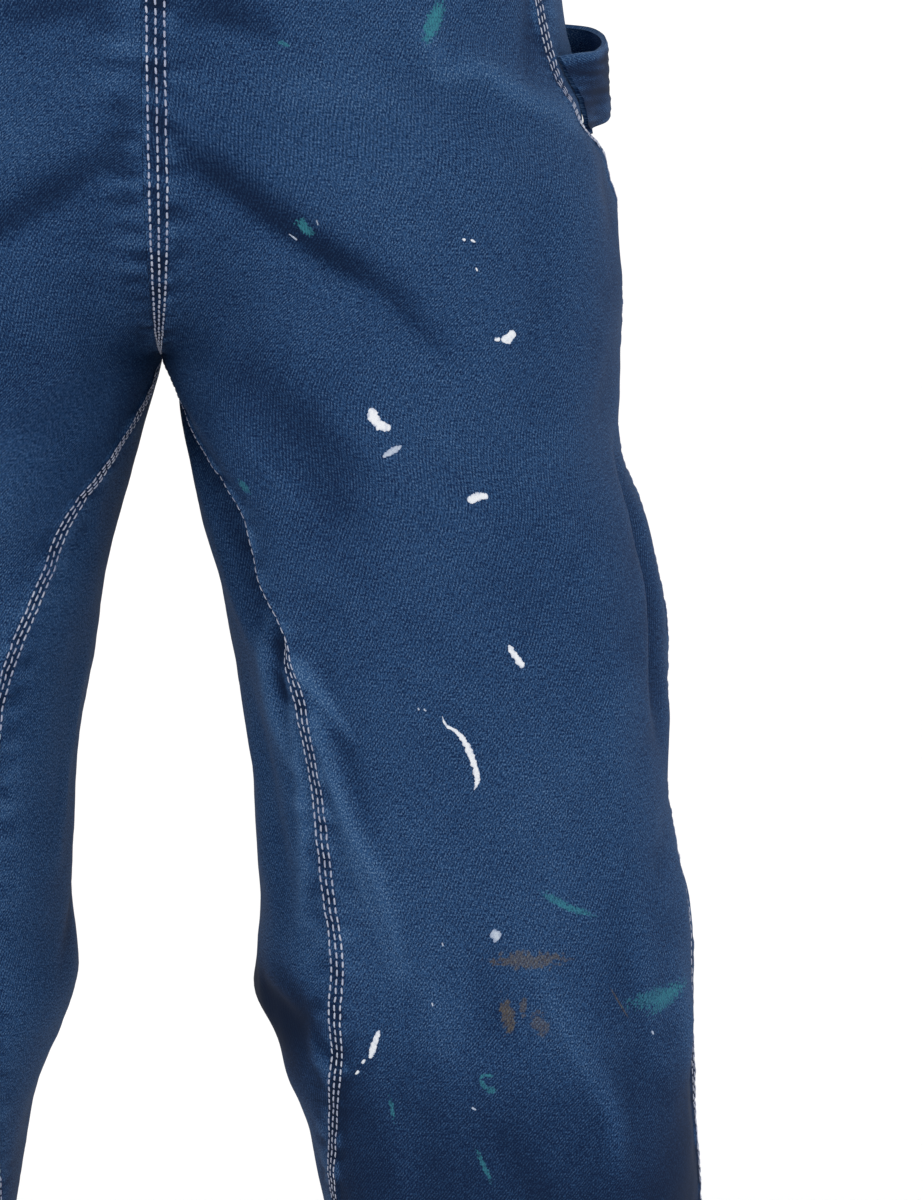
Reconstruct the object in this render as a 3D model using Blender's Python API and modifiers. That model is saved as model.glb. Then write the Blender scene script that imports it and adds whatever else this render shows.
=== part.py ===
"""Worn bib dungarees in denim, hollow and held up by the shoulders, built as their cut and sewn pieces.

Metres, +Z up. The front faces -Y and the wearer's left is +X. Heights in the tables are above the floor
that the wearer stands on. The origin is midway between the tops of the two shoulder straps.
"""

import math
from typing import NamedTuple

import bmesh
import bpy
import numpy as np
from mathutils import Matrix, Vector

# Heights above the floor
SHOULDER_TOP = 1.520
BACK_BIB_TOP = 1.300
BIB_TOP = 1.360
WAIST_SEAM = 1.050
WAISTBAND_HEIGHT = 0.036
CROTCH = 0.680
HEM_TOP = 0.056
HEM_EDGE = 0.030

# Cloth and its seams
CLOTH = 0.0016
DOUBLE_CLOTH = 0.0024
SEAM_GAP = 0.0003
SQUARING = 0.03
NORMAL_STEP = 1e-4
SHARP = math.radians(50)

# The fork, where one body of cloth becomes two legs
FRONT_FORK_TOP = 0.800
BACK_FORK_TOP = 0.860
FORK_ROW = 0.640
LEG_BLEND_TOP = 0.880
LEG_BLEND_END = 0.570
CENTRE_FADE, WAIST_FADE, HEM_FADE = 0.022, 0.060, 0.050

# Rows and columns of the walls
ROWS_ABOVE, ROWS_BELOW = 26, 31
FRONT_COLUMNS = {1: 14, -1: 12}
BACK_COLUMNS = 13
HEM_ROWS, HEM_COLUMNS = 3, 13
BIB_FRONT_GRID, BIB_BACK_GRID = (12, 13), (9, 11)

# The body of the garment about its middle line: height, half width, front depth, back depth
TORSO = (
    (1.380, 0.168, 0.112, 0.118),
    (1.300, 0.170, 0.118, 0.122),
    (1.200, 0.170, 0.122, 0.118),
    (1.120, 0.166, 0.122, 0.113),
    (1.050, 0.166, 0.122, 0.117),
    (1.000, 0.170, 0.126, 0.125),
    (0.920, 0.176, 0.130, 0.137),
    (0.841, 0.182, 0.132, 0.144),
    (0.810, 0.187, 0.133, 0.146),
    (0.781, 0.196, 0.134, 0.146),
    (0.760, 0.205, 0.135, 0.144),
    (0.720, 0.209, 0.134, 0.139),
    (0.640, 0.209, 0.130, 0.126),
    (0.560, 0.226, 0.122, 0.104),
)

# The left leg: height, inner side and outer side in x, front and back in y
LEG = (
    (0.880, 0.000, 0.178, -0.131, 0.140),
    (0.800, 0.000, 0.190, -0.134, 0.146),
    (0.760, 0.000, 0.205, -0.136, 0.144),
    (0.720, 0.000, 0.209, -0.134, 0.139),
    (0.680, 0.000, 0.209, -0.131, 0.130),
    (0.640, 0.010, 0.209, -0.128, 0.119),
    (0.600, 0.021, 0.221, -0.124, 0.106),
    (0.563, 0.029, 0.228, -0.120, 0.096),
    (0.519, 0.037, 0.231, -0.115, 0.088),
    (0.460, 0.042, 0.234, -0.108, 0.082),
    (0.427, 0.043, 0.243, -0.104, 0.083),
    (0.390, 0.042, 0.246, -0.098, 0.087),
    (0.367, 0.050, 0.246, -0.094, 0.091),
    (0.333, 0.062, 0.246, -0.088, 0.095),
    (0.289, 0.071, 0.247, -0.080, 0.098),
    (0.200, 0.084, 0.250, -0.070, 0.096),
    (0.120, 0.092, 0.254, -0.066, 0.090),
    (0.030, 0.098, 0.259, -0.070, 0.086),
)

# Where the seams run round the leg: height, then degrees from the outer side towards the front
SEAM_TURNS = (
    (1.050, 0.0, 180.0),
    (0.900, 10.0, 180.0),
    (0.845, 21.0, 180.0),
    (0.820, 20.0, 180.0),
    (0.792, 10.0, 180.0),
    (0.765, -2.0, 180.0),
    (0.730, -11.0, 180.0),
    (0.680, -12.0, 180.0),
    (0.650, -12.0, 163.0),
    (0.620, -11.0, 145.8),
    (0.590, -10.0, 141.3),
    (0.557, -9.0, 133.8),
    (0.535, -8.0, 131.3),
    (0.500, -6.0, 130.8),
    (0.442, -2.0, 129.3),
    (0.397, 0.0, 127.3),
    (0.365, 0.0, 133.3),
    (0.334, -1.0, 144.3),
    (0.298, -2.0, 154.8),
    (0.200, -2.0, 166.8),
    (0.030, -2.0, 172.8),
)


class Fold(NamedTuple):
    """A soft trough or ridge in the cloth, placed on a flat view of one side of a leg."""

    view: str
    start: tuple
    end: tuple
    bow: float
    width: float
    height: float


# Views: front and back are read as (x, height), outer and inner as (y, height); heights over 0 stand proud
LEFT_FOLDS = (
    Fold("front", (0.012, 0.776), (0.127, 0.689), 0.003, 0.012, -0.012),
    Fold("front", (0.040, 0.780), (0.142, 0.716), 0.004, 0.018, 0.006),
    Fold("front", (0.094, 0.842), (0.188, 0.785), -0.004, 0.010, 0.005),
    Fold("front", (0.100, 0.822), (0.184, 0.772), -0.003, 0.012, -0.004),
    Fold("front", (0.030, 0.690), (0.088, 0.600), 0.004, 0.020, -0.004),
    Fold("front", (0.044, 0.597), (0.062, 0.556), 0.000, 0.011, 0.005),
    Fold("front", (0.063, 0.556), (0.110, 0.421), -0.003, 0.009, 0.005),
    Fold("front", (0.079, 0.500), (0.106, 0.410), 0.000, 0.011, -0.004),
    Fold("inner", (-0.015, 0.560), (-0.050, 0.485), 0.004, 0.011, 0.004),
    Fold("inner", (-0.056, 0.535), (-0.074, 0.430), 0.004, 0.011, -0.004),
    Fold("inner", (-0.022, 0.386), (-0.066, 0.374), -0.003, 0.014, -0.009),
    Fold("inner", (0.010, 0.348), (-0.060, 0.350), 0.004, 0.012, 0.005),
    Fold("outer", (-0.034, 0.636), (-0.052, 0.515), 0.000, 0.012, -0.009),
    Fold("outer", (-0.020, 0.450), (-0.010, 0.320), 0.000, 0.016, -0.005),
    Fold("front", (0.164, 0.421), (0.208, 0.311), 0.006, 0.013, 0.004),
    Fold("front", (0.110, 0.230), (0.215, 0.165), 0.010, 0.016, -0.008),
    Fold("front", (0.120, 0.140), (0.235, 0.110), -0.010, 0.014, -0.007),
    Fold("back", (0.040, 0.790), (0.165, 0.735), 0.010, 0.018, -0.008),
    Fold("back", (0.045, 0.700), (0.160, 0.660), -0.010, 0.018, -0.007),
    Fold("back", (0.060, 0.500), (0.190, 0.470), 0.012, 0.016, -0.009),
    Fold("back", (0.075, 0.440), (0.215, 0.425), -0.010, 0.018, -0.009),
    Fold("back", (0.090, 0.235), (0.220, 0.190), -0.012, 0.016, -0.008),
    Fold("back", (0.105, 0.130), (0.225, 0.150), 0.010, 0.016, -0.007),
)

RIGHT_FOLDS = (
    Fold("front", (0.012, 0.770), (0.118, 0.700), 0.006, 0.014, -0.010),
    Fold("front", (0.035, 0.804), (0.145, 0.742), 0.004, 0.022, 0.005),
    Fold("front", (0.100, 0.828), (0.198, 0.782), 0.006, 0.014, 0.004),
    Fold("front", (0.052, 0.600), (0.120, 0.505), 0.006, 0.016, -0.007),
    Fold("front", (0.075, 0.480), (0.200, 0.430), 0.014, 0.018, -0.007),
    Fold("front", (0.085, 0.400), (0.220, 0.372), -0.010, 0.018, -0.007),
    Fold("outer", (-0.030, 0.620), (-0.048, 0.500), 0.000, 0.013, -0.008),
    Fold("front", (0.105, 0.250), (0.225, 0.205), -0.012, 0.016, -0.008),
    Fold("front", (0.120, 0.125), (0.240, 0.150), 0.010, 0.015, -0.007),
    Fold("back", (0.040, 0.780), (0.165, 0.745), 0.012, 0.018, -0.008),
    Fold("back", (0.050, 0.690), (0.170, 0.640), -0.008, 0.018, -0.007),
    Fold("back", (0.065, 0.490), (0.210, 0.455), -0.012, 0.017, -0.009),
    Fold("back", (0.080, 0.425), (0.215, 0.400), 0.010, 0.016, -0.008),
    Fold("back", (0.095, 0.220), (0.225, 0.235), -0.012, 0.016, -0.008),
    Fold("back", (0.108, 0.145), (0.220, 0.115), 0.010, 0.016, -0.007),
)
FOLDS = {1: LEFT_FOLDS, -1: RIGHT_FOLDS}
SIDES = {1: "left", -1: "right"}
VIEW_ACROSS = {"front": 0, "back": 0, "outer": 1, "inner": 1}
VIEW_OUTWARD = {"front": (0, -1, 0), "back": (0, 1, 0), "outer": (1, 0, 0), "inner": (-1, 0, 0)}
FACE_FRONT, FACE_BACK = 1, -1

# Half widths of the two bibs: height, half width
BIB_FRONT = (
    (BIB_TOP, 0.122),
    (1.280, 0.121),
    (1.210, 0.125),
    (1.155, 0.134),
    (1.120, 0.144),
    (1.086, 0.158),
)
BIB_BACK = (
    (BACK_BIB_TOP, 0.050),
    (1.240, 0.064),
    (1.180, 0.088),
    (1.130, 0.118),
    (1.086, 0.152),
)

# The middle of the left strap, from the back bib over the shoulder to the buckle: x, y, height
STRAP_WIDTH = 0.038
STRAP_CLOTH = 0.0020
STRAP_ROUTE = (
    (0.0270, 0.1255, 1.262),
    (0.0285, 0.1262, 1.302),
    (0.0400, 0.1220, 1.360),
    (0.0600, 0.1040, 1.432),
    (0.0760, 0.0640, 1.494),
    (0.0860, 0.0080, 1.519),
    (0.0920, -0.0420, 1.505),
    (0.0960, -0.0800, 1.470),
)
STRAP_ROWS = 30
SHOULDER_CORE = (0.070, 0.004, 1.330)
FRONT_FLAT_BELOW, BACK_FLAT_BELOW, FLAT_EASE = 1.492, 1.520, 0.055
BACK_FACING = (0.10, 1.0, 0.0)
FRONT_RUN = (0.075, 0.055, 0.035, 0.015, 0.0)
TURN_ROWS, RETURN_ROWS = 6, 4

# Button, buckle and slider on each strap
BUTTON_X, BUTTON_HEIGHT = 0.098, 1.330
BUTTON_HEAD, BUTTON_NECK = 0.0085, 0.0035
BUTTON_NECK_LENGTH, SIDE_BUTTON_NECK_LENGTH, BUTTON_HEAD_DEPTH = 0.0066, 0.0012, 0.0028
BUTTON_STEPS = 16
WIRE = 0.0013
WIRE_LIFT = 0.0046
BUCKLE_BAR = 0.0370
BUCKLE_HALF = 0.0215
SLIDER_RISE = 0.052
SLIDER_HALF = (0.0222, 0.0130)
SLIDER_BAR = 0.0028
SLIDER_SHEET, SLIDER_CHEEK = 0.0014, 0.0020

# Side closing
TAB_TURN = -13.0
TAB_RISE_START, TAB_RISE_SPAN = 1.5, 16.0
TAB_COLUMNS, BACK_BAND_COLUMNS = 33, 23
BACK_BAND_END = -0.6
SIDE_BUTTON_TURN = -7.0
PLACKET_END = 0.905
PLACKET_BACK, PLACKET_FRONT = 0.105, 0.030
PLACKET_ROWS = 8
PLACKET_BUTTON = 0.978
UNDER_BAND = 0.002

# Pocket mouth on the front of the hip: distance from the outseam and height
POCKET_TOP, POCKET_PULL, POCKET_END = (0.150, 1.046), (0.120, 0.925), (0.026, 0.896)
POCKET_BAND = 0.014
POCKET_ROWS = 12
FRONT_ROW = 0.236

# Hammer loop on the left hip: height and share of the panel where each end is sewn, then how far out in x
# it stands at shares of the way from end to end
LOOP_FRONT_END = (0.799, 0.020)
LOOP_BACK_END = (0.822, 0.360)
LOOP_STAND = ((0.12, 0.1965), (0.30, 0.2035), (0.50, 0.2060), (0.70, 0.2040), (0.88, 0.1970))
LOOP_WIDTH = 0.031
LOOP_CLOTH = 0.0024
LOOP_ROWS, LOOP_LINES = 17, 3

DENIM = (0.024, 0.056, 0.127)
BRASS = (0.420, 0.310, 0.150)
STEEL = (0.450, 0.440, 0.420)


def start_collection(name):
    """An empty scene with one collection in it."""
    for old in list(bpy.data.objects):
        bpy.data.objects.remove(old)
    made = bpy.data.collections.new(name)
    bpy.context.scene.collection.children.link(made)
    return made


def finish(name, colour, roughness, metallic):
    """A Principled material."""
    made = bpy.data.materials.new(name)
    made.use_nodes = True
    shader = made.node_tree.nodes["Principled BSDF"]
    shader.inputs["Base Color"].default_value = (*colour, 1.0)
    shader.inputs["Roughness"].default_value = roughness
    shader.inputs["Metallic"].default_value = metallic
    return made


def along(table, height):
    """The table's other columns at each height, on a smooth curve through its rows."""
    rows = np.array(table)[::-1]
    at, values = rows[:, 0], rows[:, 1:]
    slopes = np.gradient(values, at, axis=0)
    k = np.clip(np.searchsorted(at, height) - 1, 0, len(at) - 2)
    span = (at[k + 1] - at[k])[..., None]
    u = np.clip((height - at[k])[..., None] / span, 0.0, 1.0)
    rise = u * u * (3 - 2 * u)
    made = values[k] * (1 - rise) + values[k + 1] * rise
    made += slopes[k] * span * u * (1 - u) ** 2 - slopes[k + 1] * span * u * u * (1 - u)
    return np.moveaxis(made, -1, 0)


def eased(value):
    """A smooth step from 0 to 1."""
    u = np.clip(value, 0.0, 1.0)
    return u * u * (3 - 2 * u)


def squared(turn):
    """Cosine and sine of a slightly squared circle."""
    cosine = (np.cos(turn) - SQUARING * np.cos(3 * turn)) / (1 - SQUARING)
    sine = (np.sin(turn) + SQUARING * np.sin(3 * turn)) / (1 - SQUARING)
    return cosine, sine


def torso(turn, height):
    """Points of the garment's body. Turn is 0 at the wearer's left and a quarter at the front."""
    half, front, back = along(TORSO, height)
    cosine, sine = squared(turn)
    return np.stack([half * cosine, (back - front) / 2 - (back + front) / 2 * sine, height], axis=-1)


def leg(turn, height):
    """Points of the left leg. Turn is 0 on the outer side and a quarter at the front."""
    inner, outer, front, back = along(LEG, height)
    cosine, sine = squared(turn)
    x = (inner + outer) / 2 + (outer - inner) / 2 * cosine
    return np.stack([x, (back + front) / 2 - (back - front) / 2 * sine, height], axis=-1)


def share_down(height):
    """How far down a leg panel a height on the outseam is: 0 at the waist and 1 at the hem band."""
    return (WAIST_SEAM - height) / (WAIST_SEAM - HEM_TOP)


def plain_panel(face, down, across):
    """Points of a leg panel before its folds. Across runs from the outseam to the centre seam or inseam."""
    down, across = np.broadcast_arrays(down, across)
    fork_top = FRONT_FORK_TOP if face == FACE_FRONT else BACK_FORK_TOP
    fork_start, fork_end = share_down(fork_top), share_down(FORK_ROW)
    bend = np.clip((down - fork_start) / (fork_end - fork_start), 0.0, 1.0) * math.pi / 2
    outer_height = WAIST_SEAM - down * (WAIST_SEAM - HEM_TOP)
    inner_height = np.where(down < fork_start, outer_height, fork_top - (fork_top - CROTCH) * np.sin(bend))
    below = CROTCH + (HEM_TOP - CROTCH) * (down - fork_end) / (1 - fork_end)
    inner_height = np.where(down > fork_end, below, inner_height)
    height = outer_height + (inner_height - outer_height) * eased(across)

    blend_start, blend_end = share_down(LEG_BLEND_TOP), share_down(LEG_BLEND_END)
    in_leg = eased((down - blend_start) / (blend_end - blend_start))
    in_leg = in_leg + (1 - np.cos(bend) - in_leg) * across**4

    outseam, inseam = np.radians(along(SEAM_TURNS, height))
    body = torso(outseam + (face * math.pi / 2 - outseam) * across, height)
    inner_turn = inseam if face == FACE_FRONT else inseam - 2 * math.pi
    limb = leg(outseam + (inner_turn - outseam) * across, height)
    return body + (limb - body) * in_leg[..., None]


def outward(surface, face, down, across):
    """Unit normals of a panel, pointing out of the garment."""
    step = NORMAL_STEP
    along_row = surface(down, np.minimum(across + step, 1.0)) - surface(down, np.maximum(across - step, 0.0))
    along_leg = surface(down + step, across) - surface(down - step, across)
    normal = face * np.cross(along_row, along_leg)
    return normal / np.linalg.norm(normal, axis=-1, keepdims=True)


def fold_height(fold, points, normals):
    """How far one fold moves each point along its normal."""
    first, last = np.array(fold.start), np.array(fold.end)
    run = last - first
    aside = np.array([-run[1], run[0]]) / np.linalg.norm(run) * fold.bow
    flat = points[..., [VIEW_ACROSS[fold.view], 2]]
    share = np.clip(((flat - first) @ run) / (run @ run), 0.0, 1.0)[..., None]
    nearest = first + run * share + aside * 4 * share * (1 - share)
    away = np.linalg.norm(flat - nearest, axis=-1)
    fade = np.sin(math.pi * (share[..., 0] * 0.86 + 0.07)) ** 0.7
    facing = eased((normals @ np.array(VIEW_OUTWARD[fold.view])) / 0.35)
    return fold.height * np.exp(-((away / fold.width) ** 2)) * fade * facing


def panel(side, face, down, across):
    """Points of the left panel of one face, with the folds of the named side."""

    def plain(d, a):
        return plain_panel(face, d, a)

    points = plain(down, across)
    normals = outward(plain, face, down, across)
    moved = sum(fold_height(fold, points, normals) for fold in FOLDS[side])
    fade = eased(np.abs(points[..., 0]) / CENTRE_FADE)
    fade = fade * eased((WAIST_SEAM - points[..., 2]) / WAIST_FADE)
    fade = fade * eased((points[..., 2] - HEM_EDGE) / HEM_FADE)
    return points + normals * (moved * fade)[..., None]


def panel_skin(side, face, down, across):
    """Points and normals of the left panel of one face, with the folds of the named side."""

    def surface(d, a):
        return panel(side, face, d, a)

    down, across = np.broadcast_arrays(down, across)
    return surface(down, across), outward(surface, face, down, across)


def grid_normals(face, points):
    """Unit normals at a grid's own points, pointing out of the garment, so that a coarse wall keeps its depth."""
    along_leg, along_row = np.gradient(points, axis=(0, 1))
    normal = face * np.cross(along_row, along_leg)
    return normal / np.linalg.norm(normal, axis=-1, keepdims=True)


def panel_layers(side, points, normals, lift=0.0, depth=CLOTH):
    """Outer and inner points of cloth in a panel, or lifted off it, on its own side of the garment."""
    top = lift + depth if lift else 0.0
    layers = [points + normals * top, points + normals * (top - depth)]
    for layer in layers:
        layer[..., 0] = np.maximum(layer[..., 0], SEAM_GAP / 2) * side
    return layers


def panel_wall(side, face, down, across, lift=0.0, depth=CLOTH):
    """Outer and inner points of cloth that lies on or in a leg panel."""
    return panel_layers(side, *panel_skin(side, face, down, across), lift, depth)


def add_object(name, mesh, material, collection):
    """A named object for a mesh, in the row frame."""
    mesh.materials.append(material)
    made = bpy.data.objects.new(name, mesh)
    collection.objects.link(made)
    return made


def wall(name, outer, inner, material, collection, ring=False):
    """A closed wall of cloth between two grids of points. In a ring the last column meets the first."""
    if ring:
        outer, inner = outer.transpose(1, 0, 2), inner.transpose(1, 0, 2)
    loops = np.concatenate([outer, inner[:, ::-1]], axis=1) - np.array([0.0, 0.0, SHOULDER_TOP])
    shape = bmesh.new()
    lines = [[shape.verts.new(point) for point in loop] for loop in loops]
    for line, following in zip(lines, lines[1:] + (lines[:1] if ring else [])):
        for k in range(len(line)):
            shape.faces.new((line[k - 1], line[k], following[k], following[k - 1]))
    for line in () if ring else (lines[0], lines[-1]):
        for k in range(len(line) // 2 - 1):
            shape.faces.new((line[k], line[k + 1], line[-2 - k], line[-1 - k]))
    bmesh.ops.recalc_face_normals(shape, faces=shape.faces)
    mesh = bpy.data.meshes.new(name)
    shape.to_mesh(mesh)
    shape.free()
    mesh.shade_smooth()
    mesh.set_sharp_from_angle(angle=SHARP)
    return add_object(name, mesh, material, collection)


def panel_rows():
    """How far down each row of a leg panel lies. One row ends exactly at the crotch."""
    above = np.linspace(0.0, share_down(FORK_ROW), ROWS_ABOVE, endpoint=False)
    return np.concatenate([above, np.linspace(share_down(FORK_ROW), 1.0, ROWS_BELOW)])[:, None]


def leg_panels(denim, collection):
    """The front and back of each leg, from the waist seam to the hem band."""
    down = panel_rows()
    edge = SEAM_GAP / 2 / FRONT_ROW
    for side, side_name in SIDES.items():
        skins = {}
        for face, columns in ((FACE_FRONT, FRONT_COLUMNS[side]), (FACE_BACK, BACK_COLUMNS)):
            across = np.linspace(edge, 1 - edge, columns)[None, :]
            points = panel(side, face, *np.broadcast_arrays(down, across))
            skins[face] = points, grid_normals(face, points)
        normals = [skins[face][1] for face in (FACE_FRONT, FACE_BACK)]
        for seam, first_row in ((0, 0), (-1, ROWS_ABOVE)):
            shared = normals[0][first_row:, seam] + normals[1][first_row:, seam]
            shared /= np.linalg.norm(shared, axis=-1, keepdims=True)
            for normal in normals:
                normal[first_row:, seam] = shared
        for face, face_name in ((FACE_FRONT, "front"), (FACE_BACK, "back")):
            outer, inner = panel_layers(side, *skins[face])
            wall(f"{face_name}_leg_{side_name}", outer, inner, denim, collection)


def hem_bands(denim, collection):
    """The turned-up cloth at the foot of each leg, a ring on the same sections."""
    gap = SEAM_GAP / (WAIST_SEAM - HEM_TOP)
    down = np.linspace(1 + gap, share_down(HEM_EDGE), HEM_ROWS)[:, None]
    forward = np.linspace(0.0, 1.0, HEM_COLUMNS)[None, :-1]
    for side, side_name in SIDES.items():
        front = panel_wall(side, FACE_FRONT, down, forward, depth=DOUBLE_CLOTH)
        back = panel_wall(side, FACE_BACK, down, 1 - forward, depth=DOUBLE_CLOTH)
        outer, inner = (np.concatenate(pair, axis=1) for pair in zip(front, back))
        wall(f"hem_{side_name}", outer, inner, denim, collection, ring=True)


def torso_wall(turn, height, lift, depth):
    """Outer and inner points of cloth on the garment's body, moved out by lift."""
    turn, height, lift = np.broadcast_arrays(turn, height, lift)
    points = torso(turn, height)
    up, round_body = torso(turn, height + NORMAL_STEP), torso(turn + NORMAL_STEP, height)
    normals = np.cross(up - points, round_body - points)
    normals /= np.linalg.norm(normals, axis=-1, keepdims=True)
    normals *= np.sign((normals[..., :2] * points[..., :2]).sum(axis=-1))[..., None]
    return points + normals * lift[..., None], points + normals * (lift - depth)[..., None]


def waistbands(denim, collection):
    """A back band, and a front band whose ends lap over it as tabs."""
    height = np.array([WAIST_SEAM + SEAM_GAP, WAIST_SEAM + WAISTBAND_HEIGHT])[:, None]
    overlap = DOUBLE_CLOTH + SEAM_GAP
    turn = np.linspace(TAB_TURN, 180 - TAB_TURN, TAB_COLUMNS)[None, :]
    past_side = np.minimum(turn, 180 - turn)
    lift = overlap * (1 - eased((past_side - TAB_RISE_START) / TAB_RISE_SPAN))
    outer, inner = torso_wall(np.radians(turn), height, lift, DOUBLE_CLOTH)
    wall("waistband_front", outer, inner, denim, collection)
    turn = np.linspace(BACK_BAND_END, -180 - BACK_BAND_END, BACK_BAND_COLUMNS)[None, :]
    outer, inner = torso_wall(np.radians(turn), height, 0.0, DOUBLE_CLOTH)
    wall("waistband_back", outer, inner, denim, collection)


def bib(name, table, face, grid, denim, collection):
    """A bib that stands on the waistband and follows the chest or the back."""
    rows, columns = grid
    top, bottom = table[0][0], WAIST_SEAM + WAISTBAND_HEIGHT + SEAM_GAP
    height = np.linspace(top, bottom, rows)[:, None]
    (half,) = along(table, height)
    torso_half = along(TORSO, height)[0]
    reach = np.arcsin(half / torso_half)
    turn = face * (math.pi / 2 - reach * np.linspace(-1, 1, columns)[None, :])
    outer, inner = torso_wall(turn, height, 0.0, CLOTH)
    wall(name, outer, inner, denim, collection)


def smooth_route(points, count):
    """Evenly spaced points on a smooth curve through a route's own points."""
    points = np.array(points)
    gaps = np.linalg.norm(np.diff(points, axis=0), axis=1)
    at = np.concatenate([[0.0], np.cumsum(gaps)])
    table = np.column_stack([at, points])[::-1]
    return along(table, np.linspace(0.0, at[-1], count)).T


def ribbon(name, centres, normals, half, depth, material, collection):
    """A flat strap: centres along it, normals out of its face."""
    forward = np.gradient(centres, axis=0)
    normals = normals - forward * ((normals * forward).sum(1) / (forward * forward).sum(1))[:, None]
    normals /= np.linalg.norm(normals, axis=1, keepdims=True)
    across = np.cross(forward, normals)
    across /= np.linalg.norm(across, axis=1, keepdims=True)
    edges = centres[:, None, :] + across[:, None, :] * np.array([-half, half])[None, :, None]
    return wall(
        name, edges + normals[:, None] * depth / 2, edges - normals[:, None] * depth / 2, material, collection
    )


class Fastening(NamedTuple):
    """The plane of one strap's buckle: the button's foot on the bib, and up, out and across directions."""

    foot: np.ndarray
    up: np.ndarray
    out: np.ndarray
    across: np.ndarray

    def at(self, across, up, out):
        """A point in the buckle's plane."""
        return self.foot + self.across * across + self.up * up + self.out * out


def fastening():
    """Where the left strap's button, buckle and slider sit."""
    half = along(TORSO, np.array([BUTTON_HEIGHT]))[0]
    height = np.array([BUTTON_HEIGHT])
    turn = math.pi / 2 - np.arcsin(BUTTON_X / half)
    for _ in range(8):
        turn = turn + (torso(turn, height)[:, 0] - BUTTON_X) / half
    foot, beneath = torso_wall(turn, height, 0.0, CLOTH)
    out = (foot - beneath)[0]
    out[2] = 0.0
    out /= np.linalg.norm(out)
    up = np.array([0.0, 0.0, 1.0])
    return Fastening(foot[0], up, out, np.cross(up, out))


def strap_route(place):
    """Centres and normals of the left strap: over the shoulder, down to the buckle's bar, round it and up."""
    core = np.array(SHOULDER_CORE)
    bar = place.at(0.0, BUCKLE_BAR, WIRE_LIFT)
    turn_radius = WIRE + SEAM_GAP + STRAP_CLOTH / 2
    front = [bar + place.up * rise + place.out * turn_radius for rise in FRONT_RUN]
    centres = smooth_route([*STRAP_ROUTE, *front], STRAP_ROWS)
    normals = centres - core
    normals /= np.linalg.norm(normals, axis=1, keepdims=True)
    near_front = eased((FRONT_FLAT_BELOW - centres[:, 2]) / FLAT_EASE) * (centres[:, 1] < 0)
    normals += (place.out - normals) * near_front[:, None]
    near_back = eased((BACK_FLAT_BELOW - centres[:, 2]) / FLAT_EASE) * (centres[:, 1] > STRAP_ROUTE[5][1])
    normals += (np.array(BACK_FACING) - normals) * near_back[:, None]
    around = np.linspace(0, math.pi, TURN_ROWS + 1)[1:, None]
    turned = place.out * np.cos(around) - place.up * np.sin(around)
    rise = np.linspace(0, SLIDER_RISE - SLIDER_BAR / 2 - SEAM_GAP, RETURN_ROWS + 1)[1:, None]
    back = bar - place.out * turn_radius + place.up * rise
    centres = np.concatenate([centres, bar + turned * turn_radius, back])
    normals = np.concatenate([normals, turned, np.tile(-place.out, (len(back), 1))])
    return centres, normals


def mirrored(points, side):
    """Points on the named side, from points on the left."""
    return points * np.array([side, 1.0, 1.0])


def straps(denim, place, collection):
    """Both shoulder straps."""
    centres, normals = strap_route(place)
    for side, side_name in SIDES.items():
        ribbon(
            f"strap_{side_name}",
            mirrored(centres, side),
            mirrored(normals, side),
            STRAP_WIDTH / 2,
            STRAP_CLOTH,
            denim,
            collection,
        )


def facing(foot, out, side=1):
    """A matrix whose +Z is the outward direction at a foot on the named side."""
    out = Vector(mirrored(np.array(out), side))
    place = Vector(mirrored(np.array(foot), side)) - Vector((0, 0, SHOULDER_TOP))
    return Matrix.Translation(place) @ out.to_track_quat("Z", "Y").to_matrix().to_4x4()


def button(name, matrix, material, collection, neck=BUTTON_NECK_LENGTH):
    """A shank button, turned: a domed head with a rim on a neck."""
    head, depth = BUTTON_HEAD, BUTTON_HEAD_DEPTH
    profile = (
        (0.0, neck + depth * 0.75),
        (head * 0.55, neck + depth * 0.80),
        (head * 0.80, neck + depth),
        (head, neck + depth * 0.60),
        (head, neck + depth * 0.20),
        (head * 0.85, neck),
        (BUTTON_NECK, neck),
        (BUTTON_NECK, SEAM_GAP),
        (0.0, SEAM_GAP),
    )
    mesh = bpy.data.meshes.new(name)
    mesh.from_pydata([(r, 0.0, z) for r, z in profile], [(i, i + 1) for i in range(len(profile) - 1)], [])
    made = add_object(name, mesh, material, collection)
    turned = made.modifiers.new("turned", "SCREW")
    turned.steps = turned.render_steps = BUTTON_STEPS
    turned.use_merge_vertices = True
    turned.merge_threshold = 1e-5
    made.matrix_world = matrix
    return made


def bib_buttons(brass, place, collection):
    """The two buttons that the buckles hook over."""
    for side, side_name in SIDES.items():
        button(f"bib_button_{side_name}", facing(place.foot, place.out, side), brass, collection)


def buckle_outline():
    """The buckle's bent wire, from its top bar down to the eye round the button's neck: across, up."""
    eye = BUTTON_NECK + SEAM_GAP + WIRE
    slot = [(BUCKLE_HALF, BUCKLE_BAR), (BUCKLE_HALF + 0.0010, 0.0345), (BUCKLE_HALF - 0.0010, 0.0310)]
    slot += [(0.0145, 0.0270), (0.0108, 0.0220), (0.0098, 0.0160), (0.0072, 0.0110)]
    slot += [(eye, 0.0070), (eye, 0.0030)]
    arc = [(eye * math.cos(a), eye * math.sin(a)) for a in np.radians((0, -30, -60, -90))]
    right = slot + arc
    return right + [(-across, up) for across, up in reversed(right[:-1])]


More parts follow.
